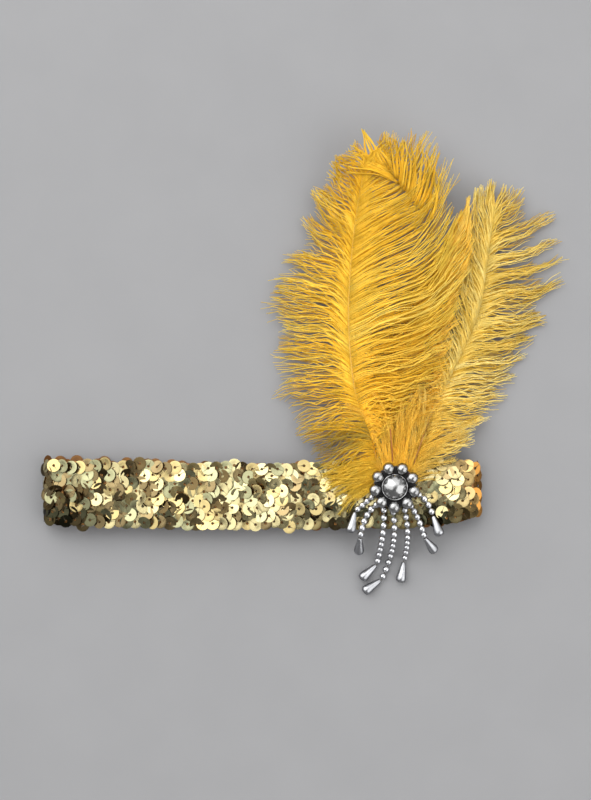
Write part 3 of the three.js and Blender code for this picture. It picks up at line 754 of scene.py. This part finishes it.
def vanePaths(feather, side, way, look, layer):
    lockPitch = feather["lockPitch"][side]
    line, spineLength = smoothLine(feather["spine"], look["spineSteps"])
    level = np.gradient(line, axis=0)
    level[:, 2] = 0
    table = np.array(feather[side], float)
    first, last = table[0, 0], table[-1, 0]
    count = int(round((last - first) * spineLength / look["pitch"]))
    spaced = np.arange(count) + 0.5 + draw.uniform(-look["rootJitter"], look["rootJitter"], count)
    at = first + (last - first) * spaced / count
    length, leave, arrive, end, locked = (np.interp(at, table[:, 0], table[:, k]) for k in range(1, 6))
    along = at * spineLength
    run = along[:, None]
    begin = draw.random(len(look["drift"]) + 2)
    strand = np.round(strandAt(look["strandShare"], run, begin, look))[:, 0].astype(int)
    strandReach = draw.uniform(*look["reach"], strand.max() + 1)[strand]
    strandShade = np.exp(draw.normal(0, look["strandShade"], strand.max() + 1))[strand]
    lockSize, lockTurns = look["lockDrift"]
    lockPlace = along / lockPitch + lockSize * np.sin(at * lockTurns + way)
    length = length * (1 + look["lockLength"] * locked * (np.cos(2 * math.pi * lockPlace) - look["lockBias"]))
    length = length * (1 + np.clip(draw.normal(0, look["lengthSpread"], count), *look["lengthLimits"]))
    stray = np.where(draw.random(count) < look["stray"], draw.normal(0, look["strayTurn"], count), 0)
    lean = layer["sweep"] + stray + draw.normal(0, look["sweepSpread"], count)
    leave = np.radians(leave + lean)
    arrive = np.radians(arrive + lean + draw.normal(0, look["turnSpread"], count))
    root = onLine(line, at)
    ahead = unit(onLine(level, at))
    knee = root + turned(ahead, way * leave) * length[:, None] / 2
    tip = knee + turned(ahead, way * arrive) * length[:, None] / 2
    tip[:, 2] = end + draw.uniform(*look["endSpread"], count)
    knee[:, 2] = root[:, 2] + (tip[:, 2] - root[:, 2]) * look["droop"]
    reach = layer["reach"] * (strandReach + draw.uniform(*look["ownReach"], count))[:, None]
    u = reach * np.linspace(0, 1, look["stations"])
    path = bowed(root[:, None], knee[:, None], tip[:, None], u[..., None])

    # shifts across the barb, towards the tip of the spine
    outward = unit((tip - root) * [1, 1, 0])
    aside = turned(outward, -way * math.pi / 2)
    slant = np.abs((aside * ahead).sum(1))[:, None]
    place = strandAt(u, run, begin, look)
    offset = place - np.round(place)
    drawn = look["strandDraw"] * layer["gather"] * fade(u, *look["gatherZone"])
    shift = -look["strandPitch"] * slant * drawn * offset * (1 - (2 * np.abs(offset)) ** look["strandEdge"])
    lockOffset = (lockPlace - np.round(lockPlace))[:, None]
    lockOffset = lockOffset * (1 - (2 * np.abs(lockOffset)) ** look["lockEdge"])
    shift = shift - lockPitch * slant * locked[:, None] * u ** feather["lockCurve"] * lockOffset
    sway = swayAt(u, run, begin[-2:], look["sway"])
    shift = shift + look["wave"] * length[:, None] * sway * fade(u, *look["waveZone"])
    shift = shift + look["ownWave"] * wave(look["ownTurns"] * u + draw.random((count, 1))) * u
    path = path + shift[..., None] * aside[:, None]
    hookSize, hookPower = look["hookShape"]
    hook = look["hook"] * length[:, None] * hookSize * u * np.clip(1 - u, 0, 1) ** hookPower
    path = path + hook[..., None] * ahead[:, None]
    stack = draw.uniform(-look["stackSpread"], look["stackSpread"], (count, 1)) + layer["rise"]
    stack = stack + look["strandRise"] * drawn * np.cos(2 * math.pi * offset)
    least, growth = look["stackShare"]
    path[..., 2] += stack * (least + growth * u) + look["arch"] * np.sin(math.pi * np.clip(u, 0, 1))
    path[..., 2] = np.maximum(path[..., 2], look["floorGap"])
    shade = np.exp(draw.normal(0, look["shadeSpread"], count)) * strandShade * layer["shade"]
    # painted light and shade: the tint is made lighter or darker by side, towards the tip and at the foot
    footShare, *upperStops = look["shadeStops"]
    stops = [footShare * feather["footTo"], feather["footTo"], *upperStops]
    levels = [feather["footShade"][side], 1, 1, feather["upperShade"]]
    shade = shade * feather["sideShade"][side] * np.interp(at, stops, levels)
    thick, fluff = (np.full(count, layer[key]) for key in ("barbules", "fluff"))
    return path, length * reach[:, 0], at, shade, thick, fluff


def barbShape(paths, lengths, look):
    share = np.linspace(0, 1, paths.shape[1])
    thin = look["tipRadius"] + (look["radius"] - look["tipRadius"]) * (1 - share) ** look["taper"]
    short = np.clip(lengths / look["fullLength"], look["thinnest"], 1.0)
    points, triangles = tubes(paths, thin[None] * short[:, None], look["sides"])
    along = tubeShares(share, look["sides"])
    return points, triangles, np.repeat(np.arange(len(paths)), len(along)), np.tile(along, len(paths))


def barbuleShape(paths, lengths, thick, fluff, look):
    # each barbule is a thin pointed blade that leaves its barb at a slant
    count, stations = paths.shape[:2]
    most = max(2, int(lengths.max() / look["barbuleStep"]))
    share = (np.arange(most)[None, :, None] + draw.random((count, most, 2))) / most
    kept = draw.random((count, most, 2)) < (thick * lengths / lengths.max())[:, None, None]
    owner, place, side = np.nonzero(kept)
    share = share[owner, place, side]
    way = np.where(side == 0, 1.0, -1.0)[:, None]
    spot = share * (stations - 1)
    low = np.minimum(spot.astype(int), stations - 2)
    part = (spot - low)[:, None]
    here, after = paths[owner, low], paths[owner, low + 1]
    foot = here * (1 - part) + after * part
    run = unit(after - here)
    across = unit(np.cross(run, [0.0, 0.0, 1.0]))
    rise = np.cross(across, run)
    angle = np.interp(share, look["angleStops"], look["barbuleAngle"])
    angle = np.radians(angle + draw.normal(0, look["angleSpread"], len(share)))[:, None]
    lift = draw.normal(*look["barbuleLift"], (len(share), 1))
    direction = unit(run * np.cos(angle) + way * across * np.sin(angle) + rise * lift)
    long, (footEase, lateEase) = look["barbuleLong"], look["barbuleEase"]
    sizes = [footEase * long, long, lateEase * long, look["barbuleShort"]]
    size = np.interp(share, look["barbuleStops"], sizes)
    size = size * draw.uniform(*look["barbuleSpread"], len(share))
    ofBarb, spare = look["barbuleLimit"]
    size = np.minimum(size * fluff[owner], ofBarb * lengths[owner] + spare)
    half = look["barbuleWidth"]
    corners = np.stack([
        foot - run * half, foot + run * half, foot + rise * half * look["barbuleRise"],
        foot + direction * size[:, None],
    ], 1)
    corners[..., 2] = np.maximum(corners[..., 2], look["barbuleGap"])
    one, two, three = (corners[:, k] - corners[:, 0] for k in (1, 2, 3))
    volume = np.einsum("ij,ij->i", np.cross(one, two), three)
    corners[volume < 0] = corners[volume < 0][:, [1, 0, 2, 3]]
    blade = np.array([(0, 2, 1), (0, 1, 3), (1, 2, 3), (2, 0, 3)])
    return corners.reshape(-1, 3), repeated(blade, len(share), 4), np.repeat(owner, 4), np.repeat(share, 4)


def featherTint(feather, part, at, share, shade):
    nearFoot = np.clip(1 - at / feather["baseReach"], 0, 1)
    colour = blendColour(feather["colour"], feather["baseColour"][part], nearFoot)
    power, most = barbLook["tipFade"]
    tip = (share ** power * most)[:, None]
    colour = colour * (1 - tip) + np.array(feather["tipColour"]) * tip
    # painted shade: the barbs about the parting take its dark colour
    gap = feather.get("gap")
    if gap and gap["side"] == part:
        dim = gap["share"] * np.exp(-((at - gap["at"]) / gap["width"]) ** 2)[:, None]
        colour = colour * (1 - dim) + np.array(gap["colour"]) * dim
    # painted light: darker shades deepen the colour and lighter ones pale it, see deepen
    return colour * shade[:, None] ** np.array(barbLook["deepen"])


def plumage(feather, part, name, grown, look):
    paths, lengths, at, shade, thick, fluff = grown
    points, triangles, owner, share = barbShape(paths, lengths, look)
    bladePoints, bladeTriangles, bladeOwner, bladeShare = barbuleShape(paths, lengths, thick, fluff, look)
    tint = np.vstack([
        featherTint(feather, part, at[owner], share, shade[owner] * look["barbTone"]),
        featherTint(feather, part, at[bladeOwner], bladeShare, shade[bladeOwner] * look["barbuleTone"]),
    ])
    tint = tint * np.minimum(1, look["tintMost"] / tint.max(axis=1, keepdims=True))
    shape = joinShapes([(points, triangles), (bladePoints, bladeTriangles)])
    makePiece(name, shape, [barbs], [feather["name"]], tint)


quillLook = {
    "stations": 60, "sides": 8, "taper": 0.7,
    "sinkZone": (0.2, 0.15), "bowZone": (0.06, 0.31), "paleZone": (0.22, 0.2),
}


def buildQuill(feather):
    share = np.linspace(0, 1, quillLook["stations"])
    line = smoothLine(feather["spine"], quillLook["stations"])[0]
    thick, thin = feather["quillRadius"], feather["quillTip"]
    radius = thick + (thin - thick) * share ** quillLook["taper"]
    line[:, 2] -= feather["quillSink"] * fade(share, *quillLook["sinkZone"])
    line[:, 2] += feather["quillBow"] * np.sin(math.pi * fade(share, *quillLook["bowZone"])) ** 2
    shape = tubes(line[None], radius[None], quillLook["sides"])
    pale = fade(tubeShares(share, quillLook["sides"]), *quillLook["paleZone"])
    tint = blendColour(feather["quillFoot"], feather["quillColour"], pale)
    makePiece(feather["name"] + "_quill", shape, [quill], [feather["name"]], tint)


def buildFeather(feather):
    buildQuill(feather)
    for side, way in (("left", 1), ("right", -1)):
        layers = [vanePaths(feather, side, way, barbLook, layer) for layer in barbLook["layers"]]
        grown = [np.concatenate(parts) for parts in zip(*layers)]
        plumage(feather, side, feather["name"] + "_vane_" + side, grown, barbLook)


for feather in (rightFeather, middleFeather, leftFeather):
    buildFeather(feather)


# loose down at the feet of the feathers, and the tip of the left feather that curls over

tuftLook = dict(
    barbLook, heightSpread=0.8, bendRange=30, ownBend=2.5, lengthRange=(0.95, 1.03), tipSpread=0.6,
    kneeRise=0.9, wave=0.03, waveTurns=1.2, gatherPower=0.6, ownShade=0.05,
)
downLook = dict(
    tuftLook, stations=8, radius=0.13, tipRadius=0.06, barbuleStep=1.2, barbuleLong=2.4, barbuleShort=1.6,
    barbuleWidth=0.13, barbuleAngle=(22.0, 16.0), rootSpread=0.4, clump=5, clumpSpread=0.30, gather=0.3,
    tuftShade=0.14, spinePlace=0.06,
)
curlLook = dict(
    tuftLook, stations=9, radius=0.20, tipRadius=0.10, barbuleStep=1.6, barbuleLong=1.4, barbuleShort=0.6,
    barbuleAngle=(15.0, 7.0), rootSpread=0.35, clump=9, clumpSpread=0.10, gather=0.85,
    tuftShade=0.30, spinePlace=0.9,
)

# x and y of the first and last root, root height, first and last heading, turn, first and last length,
# end height, count, how far heading and length follow the place of the root, and shade
downTufts = {
    "feather_left": [
        ((53.6, 3.0), (52.2, 11.0), 12.9, 168, 208, 12, 10, 25, 11.6, 170, 0, 1.0),
        ((52.6, 7.0), (50.6, 16.0), 13.0, 172, 206, 16, 12, 26, 12.0, 84, 0, 1.0),
        ((50.0, 19.0), (46.5, 29.0), 13.6, 140, 180, 30, 16, 30, 8.0, 30, 0, 0.85),
    ],
    "feather_middle": [
        ((54.6, 8.0), (62.4, 11.0), 12.6, 112, 70, 0, 14, 34, 13.8, 180, 0.7, 1.1),
        ((56.6, 12.0), (57.0, 26.0), 12.9, 92, 128, 40, 16, 30, 13.4, 50, 0, 1.1),
        ((58.6, 12.0), (58.0, 28.0), 12.9, 48, 86, -40, 16, 30, 13.0, 50, 0, 1.1),
        ((51.5, 8.6), (65.5, 8.6), 12.6, 128, 52, 0, 6, 13, 13.0, 110, 0.8, 1.1),
    ],
    "feather_right": [
        ((63.5, 4.5), (66.4, 12.0), 12.9, 12, 42, -8, 7, 17, 12.6, 66, 0.2, 1.0),
        ((66.0, 10.5), (69.4, 20.0), 12.8, 16, 48, -14, 14, 27, 12.0, 80, 0.2, 1.0),
        ((64.5, 10.0), (71.0, 27.0), 12.4, 58, 118, 6, 12, 24, 12.6, 110, 0.3, 1.0),
    ],
}
curlTufts = [
    ((46.5, 146.0), (57.0, 143.5), 16.4, 102, 124, 4, 14, 18, 15.8, 54, 0.8, 0.88),
    ((55.5, 143.0), (59.5, 138.0), 15.6, 104, 92, 12, 13, 18, 15.2, 45, 0.9, 0.80),
    ((59.0, 138.0), (63.5, 132.5), 15.0, 84, 72, 28, 18, 22, 15.0, 63, 0.9, 0.78),
    ((63.5, 132.5), (70.0, 124.5), 13.4, 70, 58, 34, 22, 27, 13.6, 72, 0.9, 0.78),
    ((70.0, 126.5), (76.0, 119.0), 12.4, 68, 64, 36, 19, 24, 12.6, 36, 0.6, 0.78),
    ((52.6, 145.6), (59.6, 136.4), 15.9, 146, 160, 10, 13, 24, 16.4, 108, 0.55, 0.84),
]


def clumped(count, look):
    # even shares from 0 to 1, one for each clump, with a little spread among its barbs
    clumps = -(-count // look["clump"])
    share = draw.permutation((np.arange(clumps) + draw.random(clumps)) / clumps)
    share = np.repeat(share, look["clump"])[:count]
    return np.clip(share + draw.normal(0, look["clumpSpread"] / clumps, count), 0, 1)


def tuftPaths(tufts, look):
    paths, lengths, shades = [], [], []
    uneven = look["heightSpread"]
    for row in tufts:
        start, stop, height, headingLow, headingHigh, turn = row[:6]
        shortest, longest, endHeight, count, follow, tone = row[6:]
        share = clumped(count, look)[:, None]
        headingShare = follow * share[:, 0] + (1 - follow) * clumped(count, look)
        lengthShare = follow * share[:, 0] + (1 - follow) * clumped(count, look)
        bendShare, waveShare, shadeShare = (clumped(count, look) for _ in range(3))
        root = np.array(start) * (1 - share) + np.array(stop) * share
        root = root + draw.normal(0, look["rootSpread"], (count, 2))
        root = np.hstack([root, height + draw.uniform(-uneven, uneven, (count, 1))])
        heading = np.radians(headingLow + (headingHigh - headingLow) * headingShare)
        bend = turn + look["bendRange"] * (bendShare - 0.5) + draw.normal(0, look["ownBend"], count)
        length = (shortest + (longest - shortest) * lengthShare) * draw.uniform(*look["lengthRange"], count)
        east = np.tile([1.0, 0.0, 0.0], (count, 1))
        knee = root + turned(east, heading) * length[:, None] / 2
        tip = knee + turned(east, heading + np.radians(bend)) * length[:, None] / 2
        tip[:, 2] = endHeight + draw.normal(0, look["tipSpread"], count)
        knee[:, 2] = np.maximum(root[:, 2], tip[:, 2]) + draw.uniform(0, look["kneeRise"], count)
        u = np.linspace(0, 1, look["stations"])[None, :, None]
        path = bowed(root[:, None], knee[:, None], tip[:, None], u)
        aside = turned(unit((tip - root) * [1, 1, 0]), math.pi / 2)[:, None]
        curl = wave(look["waveTurns"] * u + waveShare[:, None, None])
        path = path + look["wave"] * length[:, None, None] * curl * u * aside
        # the barbs of a clump draw together towards their ends
        clump = np.arange(count) // look["clump"]
        middle = np.stack([path[clump == k].mean(0) for k in range(clump[-1] + 1)])[clump]
        paths.append(middle + (path - middle) * (1 - look["gather"] * u ** look["gatherPower"]))
        lengths.append(length)
        ownShade = draw.normal(0, look["ownShade"], count)
        shades.append(tone * np.exp(look["tuftShade"] * (shadeShare - 0.5) + ownShade))
    paths = np.concatenate(paths)
    paths[..., 2] = np.maximum(paths[..., 2], look["floorGap"])
    return paths, np.concatenate(lengths), np.concatenate(shades)


def buildTuft(feather, name, tufts, look):
    paths, lengths, shades = tuftPaths(tufts, look)
    one = np.ones(len(lengths))
    plumage(feather, "down", name, (paths, lengths, look["spinePlace"] * one, shades, one, one), look)


for feather in (rightFeather, middleFeather, leftFeather):
    buildTuft(feather, feather["name"] + "_down", downTufts[feather["name"]], downLook)
buildTuft(leftFeather, "feather_left_curl", curlTufts, curlLook)
print("feathers ready")


# the rosette: felt, cabochon and a ring of beads

rosette = {
    "feltRadius": 9.3, "feltBottom": 13.3, "feltTop": 14.8,
    "stoneRadius": 5.7, "stoneBase": 15.1, "rim": 2.2, "rimWidth": 0.3, "dome": 3.0, "domeSteps": 25,
    # the stone's outline from the middle of its foot: in from its radius, and up from its base or its rim
    "footShare": 0.6, "footOutline": [(0.12, 0.0), (0.0, 0.14)],
    "rimOutline": [(0.0, -0.2), (0.08, 0.0), (0.2, 0.04)],
    "ringCount": 9, "ringBead": 2.6, "ringCircle": 8.7, "ringFirst": 108.0, "ringGap": 0.3, "ringSlope": 0.15,
    "bore": 0.4, "boreDepth": 0.7, "boreInner": 0.8, "sides": 72, "crease": 40,
}
feltLook = {
    "shares": (0.3, 0.6, 0.85, 0.95), "edgeShare": 0.99, "edgeDrop": 0.25, "crease": 60,
    # size, count round the edge, start
    "waver": [(0.012, 5, 1), (0.008, 11, 0)], "inset": 0.015,
    "bumps": (0.12, -0.05), "bumpTurns": 7, "bumpRings": 2,                 # above, below
    "fibres": 420, "fibreRoot": (0.9, 0.985), "fibreFrom": 0.2, "fibreTurn": 0.7, "fibreLength": (0.3, 0.9),
    "fibreBend": 0.12, "fibreRadii": (0.03, 0.028, 0.022, 0.01),
}
rosetteCentre = np.array([*rosettePlace, 0])


def buildFelt():
    bottom, top, radius = rosette["feltBottom"], rosette["feltTop"], rosette["feltRadius"]
    mid = (bottom + top) / 2
    shares, edge, drop = feltLook["shares"], radius * feltLook["edgeShare"], feltLook["edgeDrop"]
    profile = [(0, bottom)] + [(radius * k, bottom) for k in shares]
    profile += [(edge, bottom + drop), (radius, mid), (edge, top - drop)]
    profile += [(radius * k, top) for k in shares[::-1]] + [(0, top)]
    points, triangles = latheSolid(profile, rosette["sides"])
    angle = np.arctan2(points[:, 1], points[:, 0])
    waver = 1
    for size, waves, start in feltLook["waver"]:
        waver = waver + size * np.sin(waves * angle + start)
    points[:, :2] *= (waver - feltLook["inset"])[:, None]
    turns = feltLook["bumpTurns"] * angle + feltLook["bumpRings"] * np.hypot(points[:, 0], points[:, 1])
    points[:, 2] += np.where(points[:, 2] > mid, *feltLook["bumps"]) * np.sin(turns)
    count = feltLook["fibres"]
    turn = draw.uniform(0, 2 * math.pi, count)
    out = np.stack([np.cos(turn), np.sin(turn), 0 * turn], -1)
    root = out * (radius * draw.uniform(*feltLook["fibreRoot"], count))[:, None]
    root[:, 2] = draw.uniform(bottom + feltLook["fibreFrom"], top, count)
    reach = unit(out + draw.normal(0, feltLook["fibreTurn"], (count, 3)))
    reach = reach * draw.uniform(*feltLook["fibreLength"], (count, 1))
    u = np.linspace(0, 1, len(feltLook["fibreRadii"]))[None, :, None]
    path = root[:, None] + reach[:, None] * u + draw.normal(0, feltLook["fibreBend"], (count, 1, 3)) * u ** 2
    fibres = tubes(path, np.tile(feltLook["fibreRadii"], (count, 1)), 3)
    points, triangles = joinShapes([(points, triangles), fibres])
    shape = points + rosetteCentre, triangles
    piece = makePiece("felt_patch", shape, [felt], ["felt_backing"], sharpAngle=feltLook["crease"])


def buildCabochon():
    radius, base = rosette["stoneRadius"], rosette["stoneBase"]
    inner, top = radius - rosette["rimWidth"], base + rosette["rim"]
    profile = [(0, base), (radius * rosette["footShare"], base)]
    profile += [(radius - inset, base + up) for inset, up in rosette["footOutline"]]
    profile += [(radius - inset, top + up) for inset, up in rosette["rimOutline"]]
    profile.append((inner, top))
    for share in np.linspace(1, 0, rosette["domeSteps"], endpoint=False)[1:]:
        profile.append((inner * share, top + rosette["dome"] * (1 - share ** 2)))
    profile.append((0, top + rosette["dome"]))
    points, triangles = latheSolid(profile, rosette["sides"])
    shape = points + rosetteCentre, triangles
    makePiece("cabochon", shape, [mirror], ["centre_cabochon"], sharpAngle=rosette["crease"])


def boredBead(radius, bore, squash=1.0, sides=28, arcs=13):
    # a round bead with a drilled hole along z, a little narrower inside
    edge = math.asin(bore / radius)
    turn = np.linspace(edge, math.pi - edge, arcs)
    outer = [(radius * math.sin(t), radius * squash * math.cos(t)) for t in turn]
    depth = radius * squash * math.cos(edge) * rosette["boreDepth"]
    inner = bore * rosette["boreInner"]
    return latheLoop(outer + [(inner, -depth), (inner, depth)], sides)


def buildRing():
    for k in range(rosette["ringCount"]):
        angle = math.radians(rosette["ringFirst"] + 360 / rosette["ringCount"] * k)
        points, triangles = boredBead(rosette["ringBead"], rosette["bore"])
        centre = [
            rosettePlace[0] + rosette["ringCircle"] * math.cos(angle),
            rosettePlace[1] + rosette["ringCircle"] * math.sin(angle),
            rosette["feltTop"] + rosette["ringGap"] + rosette["ringBead"],
        ]
        sewn = (-math.sin(angle), math.cos(angle), rosette["ringSlope"])
        shape = aim(points, sewn, centre), triangles
        name, node = "round_bead_%d" % (k + 1), "ring_bead_%d" % (k + 1)
        makePiece(name, shape, [mirror], [node], sharpAngle=rosette["crease"])


buildFelt()
buildCabochon()
buildRing()


# bead strings that run over the band's edge, each with a drop at its end

fringe = {
    "strings": [
        # angle at the felt, via x and y, end x and y, beads, bead radius, heading of the drop;
        # the places are measured from the middle of the rosette
        (203, -13.0, -7.1, -17.1, -10.7, 4, 1.35, 256),
        (228, -13.3, -10.3, -14.9, -22.2, 6, 1.5, 267),
        (242, -4.4, -22.2, -7.2, -35.0, 9, 1.48, 222),
        (266, 2.1, -28.1, -5.2, -41.8, 11, 1.4, 214),
        (296, 7.4, -21.9, 4.9, -33.4, 9, 1.38, 260),
        (312, 10.9, -12.9, 13.3, -22.4, 6, 1.42, 308),
        (345, 14.6, -4.8, 16.8, -12.4, 4, 1.5, 290),
    ],
    "bandTop": 10.6, "clear": 0.6, "lowerEdge": -17.76, "edgeStart": 0.3, "edgeRun": 17.0,
    "steps": 240, "startGap": 0.3, "aimSpan": 0.4, "fill": 0.51, "sizeSpread": 0.03, "bore": 0.3,
    "beadForm": (1.06, 24, 11),                                             # length to width, sides, arcs
    "thread": 0.16, "threadSides": 6, "threadStep": 12, "tail": (0.4, 0.8),
    "sewnShare": 0.86, "sewnRise": 1.2,
    "dropLength": 9.2, "dropRadius": 2.2, "dropWidest": 0.8, "dropSides": 32, "standOff": 0.5, "lift": 0.15,
    "crease": 40, "dropCrease": 50,
    # along the drop, share of its radius
    "dropOutline": [
        (0.0, 0.28), (0.015, 0.36), (0.05, 0.43), (0.2, 0.55), (0.35, 0.66), (0.5, 0.78), (0.64, 0.90),
        (0.74, 0.975), (0.8, 1.0), (0.86, 0.985), (0.91, 0.92), (0.95, 0.79), (0.98, 0.57), (0.995, 0.30),
    ],
}


def beadHeight(y, radius):
    out = np.clip((fringe["lowerEdge"] - fringe["edgeStart"] - y) / fringe["edgeRun"], 0, 1)
    eased = out * out * (3 - 2 * out)
    high = fringe["bandTop"] + fringe["clear"] + radius
    return high + (radius - high) * eased


def stringCurve(row):
    angle, viaX, viaY, endX, endY, _, radius, _ = row
    angle = math.radians(angle)
    start = (rosette["feltRadius"] + fringe["startGap"]) * np.array([math.cos(angle), math.sin(angle)])
    u = np.linspace(0, 1, fringe["steps"])[:, None]
    plan = bowed(start, np.array([viaX, viaY]), np.array([endX, endY]), u)
    line = np.column_stack([plan, beadHeight(plan[:, 1], radius)])
    return line, distances(line)


def buildString(number, row):
    beads, radius, heading = row[5], row[6], math.radians(row[7])
    line, gone = stringCurve(row)

    def onString(spot):
        return np.array([np.interp(spot, gone, line[:, k]) for k in range(3)])

    pitch = gone[-1] / beads
    uneven, span = fringe["sizeSpread"], fringe["aimSpan"]
    shapes = []
    for k in range(beads):
        spot = (k + 0.5) * pitch
        size = min(radius, pitch * fringe["fill"]) * (1 + draw.uniform(-uneven, uneven))
        points, triangles = boredBead(size, fringe["bore"], *fringe["beadForm"])
        heads = onString(spot + span) - onString(spot - span)
        shapes.append((aim(points, heads, onString(spot) + rosetteCentre), triangles))
    beadTriangles = sum(len(triangles) for _, triangles in shapes)
    foot = line[-1]
    widestRun = fringe["standOff"] + fringe["dropWidest"] * fringe["dropLength"]
    rise = beadHeight(foot[1] + widestRun * math.sin(heading), fringe["dropRadius"])
    rise = rise + fringe["lift"] - foot[2]
    direction = unit(np.array([math.cos(heading), math.sin(heading), rise / widestRun]))
    sewn = fringe["sewnShare"]
    inner = np.array([line[0] * [sewn, sewn, 1.0] + [0, 0, fringe["sewnRise"]]])
    near, far = fringe["tail"]
    tail = foot + direction * np.array([[near], [fringe["standOff"] + far]])
    cotton = np.vstack([inner, line[::fringe["threadStep"]], line[-1:], tail]) + rosetteCentre
    twist = tubes(cotton[None], np.full((1, len(cotton)), fringe["thread"]), fringe["threadSides"])
    shape = joinShapes(shapes + [twist])
    materialOf = np.zeros(len(shape[1]), int)
    materialOf[beadTriangles:] = 1
    name, node = "string_of_beads_%d" % number, "bead_string_%d" % number
    makePiece(name, shape, [silver, thread], [node], None, materialOf, fringe["crease"])

    width, size = fringe["dropRadius"], fringe["dropLength"]
    profile = [(0, 0)] + [(width * w, size * a) for a, w in fringe["dropOutline"]] + [(0, size)]
    points, triangles = latheSolid(profile, fringe["dropSides"])
    shape = aim(points, direction, foot + rosetteCentre + direction * fringe["standOff"]), triangles
    name, node = "drop_%d" % number, "drop_bead_%d" % number
    makePiece(name, shape, [satin], [node], sharpAngle=fringe["dropCrease"])


for number, row in enumerate(fringe["strings"], 1):
    buildString(number, row)
print("rosette and fringe ready")


# pale floor, soft studio light

studio = {
    "floorSize": 4.0,
    "sky": [(0.0, 0.30), (0.30, 0.22), (0.42, 0.24), (0.5, 0.42), (0.6, 0.70), (0.8, 0.55), (1.0, 0.42)],
    # name, place in metres, width, height, watts
    "lamps": [
        ("softbox", (-0.15, 1.15, 1.05), 3.2, 1.8, 27.0),
        ("keyLamp", (-0.95, 0.60, 1.15), 2.6, 2.3, 32.0),
        ("fillLamp", (0.95, -0.35, 0.75), 1.5, 1.3, 12.0),
    ],
    "target": (0.02, 0.04, 0.0),
}


def buildStudio():
    mesh = bpy.data.meshes.new("floor")
    half = studio["floorSize"] / 2
    corners = [(-half, -half, 0), (half, -half, 0), (half, half, 0), (-half, half, 0)]
    mesh.from_pydata(corners, [], [(0, 1, 2, 3)])
    mesh.materials.append(floorPaper)
    floor = bpy.data.objects.new("floor", mesh)
    scene.collection.objects.link(floor)

    world = bpy.data.worlds.new("studio")
    world.use_nodes = True
    tree = world.node_tree
    place = tree.nodes.new("ShaderNodeTexCoord")
    parts = tree.nodes.new("ShaderNodeSeparateXYZ")
    span = tree.nodes.new("ShaderNodeMapRange")
    span.inputs["From Min"].default_value = -1
    ramp = tree.nodes.new("ShaderNodeValToRGB")
    stops = ramp.color_ramp.elements
    while len(stops) < len(studio["sky"]):
        stops.new(0.5)
    for stop, (where, level) in zip(stops, studio["sky"]):
        stop.position = where
        stop.color = (level, level, level, 1)
    tree.links.new(place.outputs["Generated"], parts.inputs["Vector"])
    tree.links.new(parts.outputs["Y"], span.inputs["Value"])
    tree.links.new(span.outputs["Result"], ramp.inputs["Fac"])
    tree.links.new(ramp.outputs["Color"], tree.nodes["Background"].inputs["Color"])
    scene.world = world

    for name, spot, width, height, watts in studio["lamps"]:
        data = bpy.data.lights.new(name, "AREA")
        data.shape = "RECTANGLE"
        data.size, data.size_y, data.energy = width, height, watts
        lamp = bpy.data.objects.new(name, data)
        lamp.location = spot
        lamp.rotation_euler = (Vector(studio["target"]) - Vector(spot)).to_track_quat("-Z", "Y").to_euler()
        scene.collection.objects.link(lamp)
    scene.view_settings.view_transform = "Standard"
    scene.view_settings.look = "None"


buildStudio()
print("studio ready")
